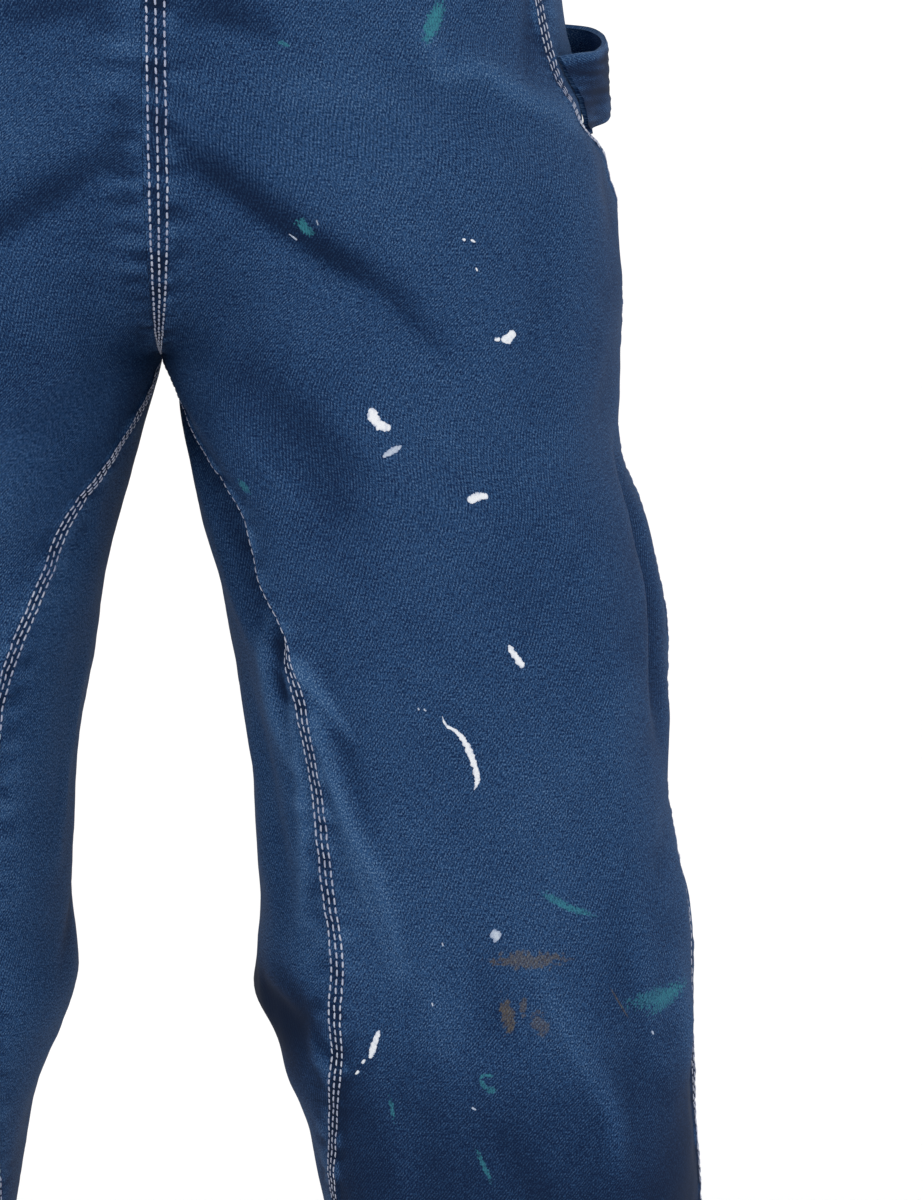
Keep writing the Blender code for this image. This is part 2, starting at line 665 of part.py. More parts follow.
def wire_loop(name, points, material, collection):
    """A closed loop of round wire through points in the row frame."""
    curve = bpy.data.curves.new(name, "CURVE")
    curve.dimensions = "3D"
    curve.bevel_depth = WIRE
    curve.bevel_resolution = 1
    spline = curve.splines.new("POLY")
    spline.points.add(len(points) - 1)
    for point, (x, y, z) in zip(spline.points, points):
        point.co = (x, y, z - SHOULDER_TOP, 1.0)
    spline.use_cyclic_u = True
    made = bpy.data.objects.new(name, curve)
    curve.materials.append(material)
    collection.objects.link(made)
    return made


def buckles(steel, place, collection):
    """The bent-wire buckles, each held by a strap and hooked under a button's head."""
    for side, side_name in SIDES.items():
        points = [mirrored(place.at(across, up, WIRE_LIFT), side) for across, up in buckle_outline()]
        wire_loop(f"buckle_{side_name}", points, steel, collection)


def block(name, size, centre, collection):
    """A box by its size and centre in its own frame."""
    shape = bmesh.new()
    bmesh.ops.create_cube(shape, size=1.0, matrix=Matrix.Translation(centre) @ Matrix.Diagonal((*size, 1.0)))
    mesh = bpy.data.meshes.new(name)
    shape.to_mesh(mesh)
    shape.free()
    made = bpy.data.objects.new(name, mesh)
    collection.objects.link(made)
    return made


def sliders(steel, place, collection, helpers):
    """The pressed sliders: bars above and below in front of the strap, and a middle bar behind it."""
    half_across, half_up = SLIDER_HALF
    strap_back = WIRE_LIFT + WIRE + SEAM_GAP
    front = strap_back + STRAP_CLOTH + SEAM_GAP + SLIDER_SHEET / 2
    back = strap_back - SEAM_GAP - SLIDER_SHEET / 2
    cheek = (SLIDER_CHEEK, 2 * half_up, front - back + SLIDER_SHEET)
    cheek_across = half_across - SLIDER_CHEEK / 2
    bar = (2 * half_across - SLIDER_CHEEK, SLIDER_BAR, SLIDER_SHEET)
    bar_up = half_up - SLIDER_BAR / 2
    level = BUCKLE_BAR + SLIDER_RISE
    bars = (
        ("cheek", cheek, (cheek_across, 0, (front + back) / 2)),
        ("cheek", cheek, (-cheek_across, 0, (front + back) / 2)),
        ("top", bar, (0, bar_up, front)),
        ("foot", bar, (0, -bar_up, front)),
        ("middle", bar, (0, 0, back)),
    )
    for side, side_name in SIDES.items():
        matrix = facing(place.at(0.0, level, 0.0), place.out, side)
        made = None
        for i, (label, size, centre) in enumerate(bars):
            name = f"slider_{side_name}" if made is None else f"slider_{side_name}_{label}_{i}"
            piece = block(name, size, centre, collection if made is None else helpers)
            piece.matrix_world = matrix
            if made is None:
                made = piece
                made.data.materials.append(steel)
                continue
            piece.hide_render = True
            piece.display_type = "WIRE"
            joined = made.modifiers.new(label, "BOOLEAN")
            joined.operation = "UNION"
            joined.object = piece


def plackets(denim, collection):
    """The strip over each side opening, from the waist seam down."""
    height = np.linspace(WAIST_SEAM - UNDER_BAND, PLACKET_END, PLACKET_ROWS)
    down = share_down(height)[:, None]
    for side, side_name in SIDES.items():
        front = panel_wall(side, FACE_FRONT, down, np.array([[PLACKET_FRONT, 0.0]]), lift=SEAM_GAP)
        back = panel_wall(side, FACE_BACK, down, np.array([[PLACKET_BACK / 2, PLACKET_BACK]]), lift=SEAM_GAP)
        outer, inner = (np.concatenate(pair, axis=1) for pair in zip(front, back))
        wall(f"side_placket_{side_name}", outer, inner, denim, collection)


def side_buttons(brass, collection):
    """One button on each waistband tab and one on each placket."""
    tab_height = WAIST_SEAM + WAISTBAND_HEIGHT / 2
    tab_lift = DOUBLE_CLOTH + SEAM_GAP
    turn, height = np.radians([SIDE_BUTTON_TURN]), np.array([tab_height])
    outer, inner = torso_wall(turn, height, np.array([tab_lift]), CLOTH)
    down, across = np.array([share_down(PLACKET_BUTTON)]), np.array([PLACKET_BACK / 2])
    for side, side_name in SIDES.items():
        matrix = facing(outer[0], outer[0] - inner[0], side)
        button(f"tab_button_{side_name}", matrix, brass, collection, SIDE_BUTTON_NECK_LENGTH)
        top, bottom = panel_wall(1, FACE_BACK, down, across, lift=SEAM_GAP)
        matrix = facing(top[0], top[0] - bottom[0], side)
        button(f"placket_button_{side_name}", matrix, brass, collection, SIDE_BUTTON_NECK_LENGTH)


def pocket_mouths(denim, collection):
    """The stitched edge of each hip pocket, a curved band on the front panel."""
    share = np.linspace(0.0, 1.0, POCKET_ROWS)[:, None]
    top, pull, end = (np.array(p) for p in (POCKET_TOP, POCKET_PULL, POCKET_END))
    middle = top * (1 - share) ** 2 + pull * 2 * share * (1 - share) + end * share**2
    forward = np.gradient(middle, axis=0)
    aside = np.column_stack([-forward[:, 1], forward[:, 0]])
    aside /= np.linalg.norm(aside, axis=1, keepdims=True)
    spread = np.array([-0.5, 0.0, 0.5])[None, :, None] * POCKET_BAND
    flat = middle[:, None, :] + aside[:, None, :] * spread
    down = share_down(np.minimum(flat[..., 1], WAIST_SEAM - UNDER_BAND))
    across = flat[..., 0] / FRONT_ROW
    for side, side_name in SIDES.items():
        outer, inner = panel_wall(side, FACE_FRONT, down, across, lift=SEAM_GAP)
        wall(f"pocket_mouth_{side_name}", outer, inner, denim, collection)


def hammer_loop(denim, collection):
    """The loop of folded cloth that stands off the left hip, its ends sewn to the outseam and the back."""
    lines = []
    for drop in np.linspace(-0.5, 0.5, LOOP_LINES) * LOOP_WIDTH:
        ends = []
        for face, (height, share) in ((FACE_FRONT, LOOP_FRONT_END), (FACE_BACK, LOOP_BACK_END)):
            down = np.array([share_down(height - drop)])
            points, normals = panel_skin(1, face, down, np.array([share]))
            ends.append((points + normals * (SEAM_GAP + LOOP_CLOTH / 2))[0])
        middle = [(x, *(ends[0] + (ends[1] - ends[0]) * share)[1:]) for share, x in LOOP_STAND]
        lines.append(smooth_route([ends[0], *middle, ends[1]], LOOP_ROWS))
    centres = np.stack(lines, axis=1)
    forward = np.gradient(centres, axis=0)
    out = np.stack([forward[..., 1], -forward[..., 0], np.zeros(forward.shape[:2])], axis=-1)
    out *= LOOP_CLOTH / 2 / np.linalg.norm(out, axis=-1, keepdims=True)
    wall("hammer_loop", centres + out, centres - out, denim, collection)


def main():
    dungarees = start_collection("dungarees")
    helpers = bpy.data.collections.new("helpers")
    bpy.context.scene.collection.children.link(helpers)
    helpers.hide_render = True
    denim = finish("washed_denim", DENIM, 0.9, 0.0)
    brass = finish("aged_brass", BRASS, 0.4, 1.0)
    steel = finish("nickel_steel", STEEL, 0.35, 1.0)
    leg_panels(denim, dungarees)
    hem_bands(denim, dungarees)
    waistbands(denim, dungarees)
    bib("bib_front", BIB_FRONT, FACE_FRONT, BIB_FRONT_GRID, denim, dungarees)
    bib("bib_back", BIB_BACK, FACE_BACK, BIB_BACK_GRID, denim, dungarees)
    plackets(denim, dungarees)
    pocket_mouths(denim, dungarees)
    hammer_loop(denim, dungarees)
    place = fastening()
    straps(denim, place, dungarees)
    bib_buttons(brass, place, dungarees)
    buckles(steel, place, dungarees)
    sliders(steel, place, dungarees, helpers)
    side_buttons(brass, dungarees)


main()
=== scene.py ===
"""Worn bib dungarees in washed denim, dressed for a picture.

Metres, +Z up. The front faces -Y and the wearer's left is +X. The origin lies midway between the tops of the
two shoulder straps. Heights in the tables are above the floor that the wearer stands on.
"""

import logging  # noqa: E402
import math  # noqa: E402
from dataclasses import dataclass, field  # noqa: E402
from enum import Enum  # noqa: E402
from typing import Callable, Iterable, Sequence  # noqa: E402

import bmesh  # noqa: E402
import bpy  # noqa: E402
import numpy as np  # noqa: E402
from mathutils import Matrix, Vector  # noqa: E402
from mathutils.bvhtree import BVHTree  # noqa: E402


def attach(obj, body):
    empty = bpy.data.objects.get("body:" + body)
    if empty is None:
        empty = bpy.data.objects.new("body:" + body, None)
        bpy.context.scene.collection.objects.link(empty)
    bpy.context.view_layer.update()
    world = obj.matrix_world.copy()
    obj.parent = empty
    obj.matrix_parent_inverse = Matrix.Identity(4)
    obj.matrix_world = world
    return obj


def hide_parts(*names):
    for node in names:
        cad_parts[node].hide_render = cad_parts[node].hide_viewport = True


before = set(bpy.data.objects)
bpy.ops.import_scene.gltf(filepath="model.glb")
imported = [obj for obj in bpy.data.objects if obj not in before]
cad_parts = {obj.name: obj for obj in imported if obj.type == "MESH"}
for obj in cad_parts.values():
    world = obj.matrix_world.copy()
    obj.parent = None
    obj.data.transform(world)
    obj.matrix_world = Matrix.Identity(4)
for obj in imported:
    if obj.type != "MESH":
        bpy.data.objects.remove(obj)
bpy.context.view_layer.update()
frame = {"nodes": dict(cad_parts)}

LOG = logging.getLogger("dungarees")
MM = 0.001
SHOULDER_TOP = 1.520
NORMAL_STEP = 1e-4

Grid = np.ndarray
Surface = Callable[[Grid, Grid], Grid]


class Side(Enum):
    """The wearer's own left and right."""

    LEFT = 1
    RIGHT = -1

    @property
    def word(self) -> str:
        """The side's name as the parts use it."""
        return self.name.lower()


class Face(Enum):
    """The front and the back panel of a leg."""

    FRONT = 1
    BACK = -1

    @property
    def word(self) -> str:
        """The face's name as the parts use it."""
        return self.name.lower()


class View(Enum):
    """A flat view on which a fold is drawn: the axis across it and the way it looks from."""

    FRONT = (0, (0, -1, 0))
    BACK = (0, (0, 1, 0))
    OUTER = (1, (1, 0, 0))
    INNER = (1, (-1, 0, 0))


def eased(value: Grid) -> Grid:
    """A smooth step from 0, at values of 0 and less, to 1, at values of 1 and more."""
    u = np.clip(value, 0.0, 1.0)
    return u * u * (3 - 2 * u)


def bell(value: Grid) -> Grid:
    """A soft bump that is 1 at 0 and near 0 past 2."""
    return np.exp(-(value**2))


def along(table: Sequence[Sequence[float]], height: Grid) -> Grid:
    """Reads a table of sizes at any height, on a smooth curve through its rows.

    Args:
        table: Rows that start with a height, the highest first.
        height: Heights to read it at.

    Returns:
        The table's other columns, first axis, at each height.
    """
    rows = np.array(table)[::-1]
    at, values = rows[:, 0], rows[:, 1:]
    slopes = np.gradient(values, at, axis=0)
    k = np.clip(np.searchsorted(at, height) - 1, 0, len(at) - 2)
    span = (at[k + 1] - at[k])[..., None]
    u = np.clip((height - at[k])[..., None] / span, 0.0, 1.0)
    rise = u * u * (3 - 2 * u)
    made = values[k] * (1 - rise) + values[k + 1] * rise
    made += slopes[k] * span * u * (1 - u) ** 2 - slopes[k + 1] * span * u * u * (1 - u)
    return np.moveaxis(made, -1, 0)


def smooth_route(points: Sequence[Sequence[float]], count: int) -> Grid:
    """Evenly spaced points on a smooth curve through a route's own points.

    Args:
        points: The route's points.
        count: How many points to give.

    Returns:
        The new points, one a row.
    """
    made = np.array(points, float)
    gaps = np.linalg.norm(np.diff(made, axis=0), axis=1)
    at = np.concatenate([[0.0], np.cumsum(gaps)])
    table = np.column_stack([at, made])[::-1]
    return along(table, np.linspace(0.0, at[-1], count)).T


def unit(vectors: Grid) -> Grid:
    """The same directions with length 1."""
    return vectors / np.maximum(np.linalg.norm(vectors, axis=-1, keepdims=True), 1e-12)


def grid_normals(points: Grid) -> Grid:
    """Unit normals of a grid, out of the side where rows run down and columns run right."""
    down_way, row_way = np.gradient(points, axis=(0, 1))
    return unit(np.cross(row_way, -down_way))


def ripple(points: Grid, size: float, seed: int, waves: int = 14) -> Grid:
    """An even, aimless waviness, the same each time.

    Args:
        points: Where to read it, with any number of axes.
        size: About how far apart its humps are.
        seed: Picks one waviness of many.
        waves: How many plain waves are laid over each other.

    Returns:
        Numbers about 0, mostly within -1 and 1.
    """
    chance = np.random.RandomState(seed)
    ways = unit(chance.normal(size=(waves, points.shape[-1])))
    pace = 2 * math.pi / size * chance.uniform(0.6, 1.5, waves)
    start = chance.uniform(0, 2 * math.pi, waves)
    total = np.zeros(points.shape[:-1])
    for way, speed, phase in zip(ways, pace, start):
        total += np.cos(points @ way * speed + phase)
    return total / math.sqrt(waves)


@dataclass(frozen=True)
class Fold:
    """A soft trough or ridge in the cloth, drawn on a flat view of one side of a leg.

    The path is read as (x, height) at the front and back, and as (y, height) on the outer and inner side.
    A height over 0 stands proud. The lean is how many times wider the fold is on the left of its way.
    A fade below 0 darkens the fold as painted shade; one over 0 makes it paler as wear.
    """

    view: View
    path: tuple
    width: float
    height: float
    lean: float = 1.0
    fade: float = 0.0

    def rise(self, points: Grid, normals: Grid) -> tuple:
        """How far the fold moves the cloth, and how much it lightens it as wear, where the fade is over 0,
        and darkens it as painted shade, where the fade is below 0.

        Args:
            points: Points of the plain panel, heights above the floor.
            normals: Their outward normals.

        Returns:
            The move along the normal in metres, and a share for the wear, which is painted shade where it is
            below 0.
        """
        axis, outward = self.view.value
        flat = points[..., [axis, 2]]
        path = smooth_route(self.path, 3 * len(self.path)) if len(self.path) > 2 else np.array(self.path)
        reach = 2.6 * self.width * max(1.0, self.lean)
        near = ((flat > path.min(0) - reach) & (flat < path.max(0) + reach)).all(-1)
        height, wear = np.zeros(near.shape), np.zeros(near.shape)
        if not near.any():
            return height, wear
        spot = flat[near]
        runs = np.diff(path, axis=0)
        lengths = np.linalg.norm(runs, axis=1)
        before = np.concatenate([[0.0], np.cumsum(lengths)])
        best, share, sign = np.full(len(spot), 1e9), np.zeros(len(spot)), np.ones(len(spot))
        for k, (run, length) in enumerate(zip(runs, lengths)):
            part = np.clip(((spot - path[k]) @ run) / length**2, 0.0, 1.0)
            off = spot - path[k] - part[:, None] * run
            away = np.linalg.norm(off, axis=1)
            closer = away < best
            best = np.where(closer, away, best)
            share = np.where(closer, (before[k] + part * length) / before[-1], share)
            sign = np.where(closer, np.sign(run[0] * off[:, 1] - run[1] * off[:, 0]), sign)
        width = self.width * np.where(sign > 0, self.lean, 1.0)
        ends = np.sin(math.pi * (share * 0.86 + 0.07)) ** 0.7
        facing = eased((normals[near] @ np.array(outward)) / 0.35)
        shape = bell(best / width) * ends * facing
        height[near] = self.height * shape
        # Painted shade in the trough where the fade is below 0; a paler worn ridge where it is over 0
        wear[near] = self.fade * shape
        return height, wear


def straight(
    view: View, start: tuple, end: tuple, bow: float, width: float, height: float, fade: float | None = None
) -> Fold:
    """A fold whose line is one slight bow.

    Args:
        view: The view that it is drawn on.
        start: Where it starts.
        end: Where it ends.
        bow: How far its middle stands off the straight line.
        width: How far to each side it reaches.
        height: How far it moves the cloth.
        fade: Its share for the wear, painted shade where it is below 0, or None for the usual one.

    Returns:
        The fold.
    """
    first, last = np.array(start), np.array(end)
    run = last - first
    aside = np.array([-run[1], run[0]]) / np.linalg.norm(run) * bow
    path = tuple(tuple(first + run * s + aside * 4 * s * (1 - s)) for s in (0.0, 0.25, 0.5, 0.75, 1.0))
    # The usual fade is nine times the height: painted shade in a trough, a paler wear on a ridge
    return Fold(view, path, width, height, fade=height * 9 if fade is None else fade)


def bows(view: View, *rows: tuple) -> tuple:
    """Large folds on one view: a row has start, end, bow, width, height, and a fade (below 0 painted shade)
    if it's unusual.
    """
    return tuple(straight(view, *row) for row in rows)


def creases(view: View, *rows: tuple) -> tuple:
    """Small creases on one view: a row has width, height, lean, fade (below 0 painted shade, over 0 a paler
    wear) and then the path's points.
    """
    return tuple(Fold(view, path, *sizes) for *sizes, path in rows)


# Troughs here get painted shade, and ridges a paler wear, by their fade; the inner pit and the outer trough
# have a deeper painted shade of their own
LEFT_FOLDS = bows(
    View.FRONT,
    ((0.012, 0.776), (0.127, 0.689), 0.003, 0.010, -0.0055),
    ((0.040, 0.780), (0.142, 0.716), 0.004, 0.018, 0.0035),
    ((0.094, 0.842), (0.188, 0.785), -0.004, 0.010, 0.005),
    ((0.100, 0.822), (0.184, 0.772), -0.003, 0.012, -0.004),
    ((0.030, 0.690), (0.088, 0.600), 0.004, 0.020, -0.004),
    ((0.044, 0.597), (0.062, 0.556), 0.000, 0.011, 0.005),
    ((0.063, 0.556), (0.110, 0.421), -0.003, 0.009, 0.005),
    ((0.079, 0.500), (0.106, 0.410), 0.000, 0.011, -0.004),
) + bows(
    View.INNER,
    ((-0.015, 0.560), (-0.050, 0.485), 0.004, 0.011, 0.0015),
    ((-0.056, 0.535), (-0.074, 0.430), 0.004, 0.011, -0.004),
    ((-0.022, 0.386), (-0.066, 0.374), -0.003, 0.014, -0.006, -0.40),
    ((0.010, 0.348), (-0.060, 0.350), 0.004, 0.012, 0.002),
) + bows(
    View.OUTER,
    ((-0.034, 0.636), (-0.052, 0.515), 0.000, 0.012, -0.009, -0.20),
    ((-0.020, 0.450), (-0.010, 0.320), 0.000, 0.016, -0.005),
) + bows(
    View.FRONT,
    ((0.164, 0.421), (0.208, 0.311), 0.006, 0.013, 0.004),
    ((0.110, 0.230), (0.215, 0.165), 0.010, 0.016, -0.008),
    ((0.120, 0.140), (0.235, 0.110), -0.010, 0.014, -0.007),
) + bows(
    View.BACK,
    ((0.040, 0.790), (0.165, 0.735), 0.010, 0.018, -0.008),
    ((0.045, 0.700), (0.160, 0.660), -0.010, 0.018, -0.007),
    ((0.060, 0.500), (0.190, 0.470), 0.012, 0.016, -0.009),
    ((0.075, 0.440), (0.215, 0.425), -0.010, 0.018, -0.009),
    ((0.090, 0.235), (0.220, 0.190), -0.012, 0.016, -0.008),
    ((0.105, 0.130), (0.225, 0.150), 0.010, 0.016, -0.007),
)

# Troughs here get painted shade, and ridges a paler wear, by their fade
RIGHT_FOLDS = bows(
    View.FRONT,
    ((0.012, 0.770), (0.118, 0.700), 0.006, 0.012, -0.0055),
    ((0.035, 0.804), (0.145, 0.742), 0.004, 0.022, 0.0035),
    ((0.100, 0.828), (0.198, 0.782), 0.006, 0.014, 0.004),
    ((0.052, 0.600), (0.120, 0.505), 0.006, 0.016, -0.007),
    ((0.075, 0.480), (0.200, 0.430), 0.014, 0.018, -0.007),
    ((0.085, 0.400), (0.220, 0.372), -0.010, 0.018, -0.007),
) + bows(
    View.OUTER,
    ((-0.030, 0.620), (-0.048, 0.500), 0.000, 0.013, -0.008),
) + bows(
    View.FRONT,
    ((0.105, 0.250), (0.225, 0.205), -0.012, 0.016, -0.008),
    ((0.120, 0.125), (0.240, 0.150), 0.010, 0.015, -0.007),
) + bows(
    View.BACK,
    ((0.040, 0.780), (0.165, 0.745), 0.012, 0.018, -0.008),
    ((0.050, 0.690), (0.170, 0.640), -0.008, 0.018, -0.007),
    ((0.065, 0.490), (0.210, 0.455), -0.012, 0.017, -0.009),
    ((0.080, 0.425), (0.215, 0.400), 0.010, 0.016, -0.008),
    ((0.095, 0.220), (0.225, 0.235), -0.012, 0.016, -0.008),
    ((0.108, 0.145), (0.220, 0.115), 0.010, 0.016, -0.007),
)

# The smaller creases of the left leg that the picture shows, in its own places
# A fade below 0 is painted shade in the crease; one over 0 is a paler worn ridge
LEFT_CREASES = creases(
    View.OUTER,
    (0.0065, -0.0034, 1.0, 0.0, ((-0.070, 0.784), (0.000, 0.784), (0.050, 0.786))),
    (0.0085, -0.0024, 1.0, 0.0, ((-0.070, 0.756), (0.000, 0.757), (0.050, 0.760))),
) + creases(
    View.INNER,
    (0.0120, 0.0052, 1.0, 0.0, ((0.075, 0.384), (0.010, 0.382), (-0.034, 0.378))),
    (0.0200, -0.0006, 1.0, -0.48, ((0.020, 0.405), (-0.020, 0.378), (-0.055, 0.352))),
) + creases(
    View.FRONT,
    (0.0035, -0.0026, 2.6, -0.30,
     ((0.010, 0.778), (0.034, 0.759), (0.063, 0.737), (0.084, 0.7245), (0.101, 0.716), (0.125, 0.691))),
    (0.0045, -0.0022, 2.0, -0.20, ((0.012, 0.834), (0.036, 0.831), (0.060, 0.822))),
    (0.0050, 0.0012, 1.5, 0.12, ((0.055, 0.798), (0.078, 0.801), (0.099, 0.795))),
    (0.0032, 0.0017, 1.7, 0.34,
     ((0.118, 0.826), (0.131, 0.805), (0.140, 0.8085), (0.156, 0.798), (0.177, 0.788), (0.191, 0.7805))),
    (0.0050, -0.0022, 1.8, -0.20, ((0.172, 0.870), (0.170, 0.842), (0.168, 0.817), (0.166, 0.796))),
    (0.0030, 0.0008, 1.0, 0.10, ((0.109, 0.757), (0.125, 0.782))),
    (0.0100, 0.0018, 1.3, 0.08, ((0.184, 0.775), (0.186, 0.720), (0.183, 0.668))),
    (0.0090, -0.0013, 1.3, -0.06, ((0.168, 0.760), (0.170, 0.705), (0.166, 0.650))),
    (0.0140, -0.0022, 1.2, -0.14, ((0.035, 0.684), (0.069, 0.649), (0.086, 0.605))),
    (0.0028, 0.0007, 1.0, 0.08, ((0.040, 0.647), (0.066, 0.618))),
    (0.0022, 0.0014, 1.4, 0.60, ((0.062, 0.5545), (0.072, 0.541), (0.088, 0.517))),
    (0.0024, 0.0016, 1.7, 0.44,
     ((0.0635, 0.5536), (0.070, 0.541), (0.078, 0.506), (0.084, 0.489), (0.088, 0.4765), (0.095, 0.463),
      (0.111, 0.409))),
    (0.0030, 0.0010, 1.3, 0.24, ((0.079, 0.498), (0.092, 0.452), (0.107, 0.4065))),
    (0.0055, -0.0014, 1.2, -0.18, ((0.075, 0.545), (0.086, 0.506), (0.097, 0.470))),
    (0.0030, 0.0018, 1.2, 0.46, ((0.046, 0.571), (0.049, 0.538), (0.054, 0.517), (0.059, 0.502))),
    (0.0026, 0.0014, 1.2, 0.42,
     ((0.0605, 0.542), (0.062, 0.520), (0.064, 0.489), (0.0655, 0.463), (0.063, 0.430))),
    (0.0045, -0.0020, 1.0, -0.30, ((0.053, 0.566), (0.055, 0.546), (0.058, 0.524))),
    (0.0055, -0.0015, 1.0, -0.14, ((0.050, 0.472), (0.053, 0.440), (0.056, 0.415))),
    (0.0080, -0.0030, 1.0, -0.34, ((0.049, 0.408), (0.058, 0.396), (0.069, 0.372))),
    (0.0050, 0.0022, 1.0, 0.22, ((0.067, 0.377), (0.072, 0.365), (0.077, 0.352))),
    (0.0050, 0.0016, 1.0, 0.22, ((0.234, 0.410), (0.238, 0.380), (0.241, 0.352))),
    (0.0034, 0.0015, 1.6, 0.17,
     ((0.165, 0.4204), (0.1737, 0.4027), (0.1841, 0.378), (0.1929, 0.3639), (0.2016, 0.3463),
      (0.2059, 0.3145))),
    (0.0070, 0.0018, 1.3, 0.14, ((0.1196, 0.4168), (0.1266, 0.3904), (0.1301, 0.3639))),
    (0.0075, -0.0014, 1.2, -0.10, ((0.143, 0.430), (0.150, 0.400), (0.158, 0.372))),
    (0.0080, 0.0014, 1.3, 0.08, ((0.205, 0.560), (0.206, 0.520), (0.204, 0.470))),
    (0.0060, 0.0014, 1.3, 0.12, ((0.213, 0.445), (0.219, 0.410), (0.224, 0.370))),
    (0.0080, -0.0016, 1.3, -0.10, ((0.150, 0.345), (0.165, 0.318), (0.172, 0.290))),
    (0.0070, 0.0015, 1.2, 0.10, ((0.100, 0.360), (0.110, 0.325), (0.114, 0.285))),
    (0.0045, -0.0012, 2.0, -0.16, ((0.118, 0.222), (0.160, 0.207), (0.205, 0.180))),
    (0.0045, -0.0012, 2.0, -0.16, ((0.130, 0.128), (0.180, 0.106), (0.228, 0.118))),
)

# Smaller creases of the same kind for the sides that the picture doesn't show
# A fade below 0 is painted shade in the crease; one over 0 is a paler worn ridge
OTHER_CREASES = creases(
    View.FRONT,
    (0.0040, -0.0022, 2.4, -0.26, ((0.010, 0.774), (0.050, 0.746), (0.084, 0.728), (0.116, 0.704))),
    (0.0050, -0.0018, 1.8, -0.16, ((0.012, 0.840), (0.040, 0.834), (0.066, 0.828))),
    (0.0050, 0.0014, 1.6, 0.16, ((0.120, 0.832), (0.150, 0.806), (0.188, 0.786))),
    (0.0120, 0.0016, 1.2, 0.08, ((0.050, 0.640), (0.078, 0.600), (0.090, 0.560))),
    (0.0040, 0.0018, 1.5, 0.28, ((0.064, 0.560), (0.080, 0.505), (0.100, 0.440))),
    (0.0060, -0.0016, 1.3, -0.16, ((0.078, 0.520), (0.098, 0.470), (0.118, 0.415))),
    (0.0060, 0.0018, 1.5, 0.16, ((0.160, 0.500), (0.178, 0.452), (0.204, 0.412))),
    (0.0070, -0.0016, 1.2, -0.12, ((0.130, 0.370), (0.142, 0.330), (0.150, 0.290))),
    (0.0045, -0.0012, 2.0, -0.16, ((0.118, 0.238), (0.165, 0.218), (0.212, 0.212))),
) + creases(
    View.INNER,
    (0.0045, 0.0018, 1.2, 0.20, ((-0.030, 0.560), (-0.042, 0.500), (-0.050, 0.450))),
    (0.0060, -0.0022, 1.3, -0.24, ((0.020, 0.470), (-0.010, 0.430), (-0.040, 0.400))),
) + creases(
    View.OUTER,
    (0.0060, -0.0020, 1.3, -0.20, ((-0.030, 0.500), (-0.010, 0.450), (0.020, 0.420))),
    (0.0070, 0.0016, 1.2, 0.12, ((-0.010, 0.360), (-0.016, 0.310), (-0.010, 0.260))),
)

# A fade below 0 is painted shade in the crease; one over 0 is a paler worn ridge
BACK_CREASES = creases(
    View.BACK,
    (0.0050, -0.0020, 2.2, -0.22, ((0.035, 0.800), (0.090, 0.772), (0.150, 0.748))),
    (0.0080, 0.0018, 1.3, 0.12, ((0.030, 0.900), (0.090, 0.885), (0.140, 0.895))),
    (0.0055, -0.0018, 1.8, -0.18, ((0.070, 0.662), (0.120, 0.640), (0.165, 0.650))),
    (0.0042, -0.0022, 2.2, -0.26, ((0.060, 0.520), (0.110, 0.486), (0.175, 0.478))),
    (0.0045, 0.0020, 1.4, 0.26, ((0.070, 0.470), (0.130, 0.448), (0.205, 0.446))),
    (0.0042, -0.0020, 2.0, -0.26, ((0.080, 0.438), (0.140, 0.420), (0.210, 0.424))),
    (0.0050, 0.0018, 1.4, 0.22, ((0.090, 0.400), (0.150, 0.392), (0.205, 0.400))),
    (0.0080, 0.0018, 1.2, 0.10, ((0.150, 0.380), (0.165, 0.330), (0.160, 0.280))),
    (0.0045, -0.0014, 2.0, -0.18, ((0.098, 0.236), (0.155, 0.206), (0.215, 0.194))),
    (0.0045, -0.0014, 2.0, -0.18, ((0.105, 0.128), (0.160, 0.150), (0.220, 0.148))),
)


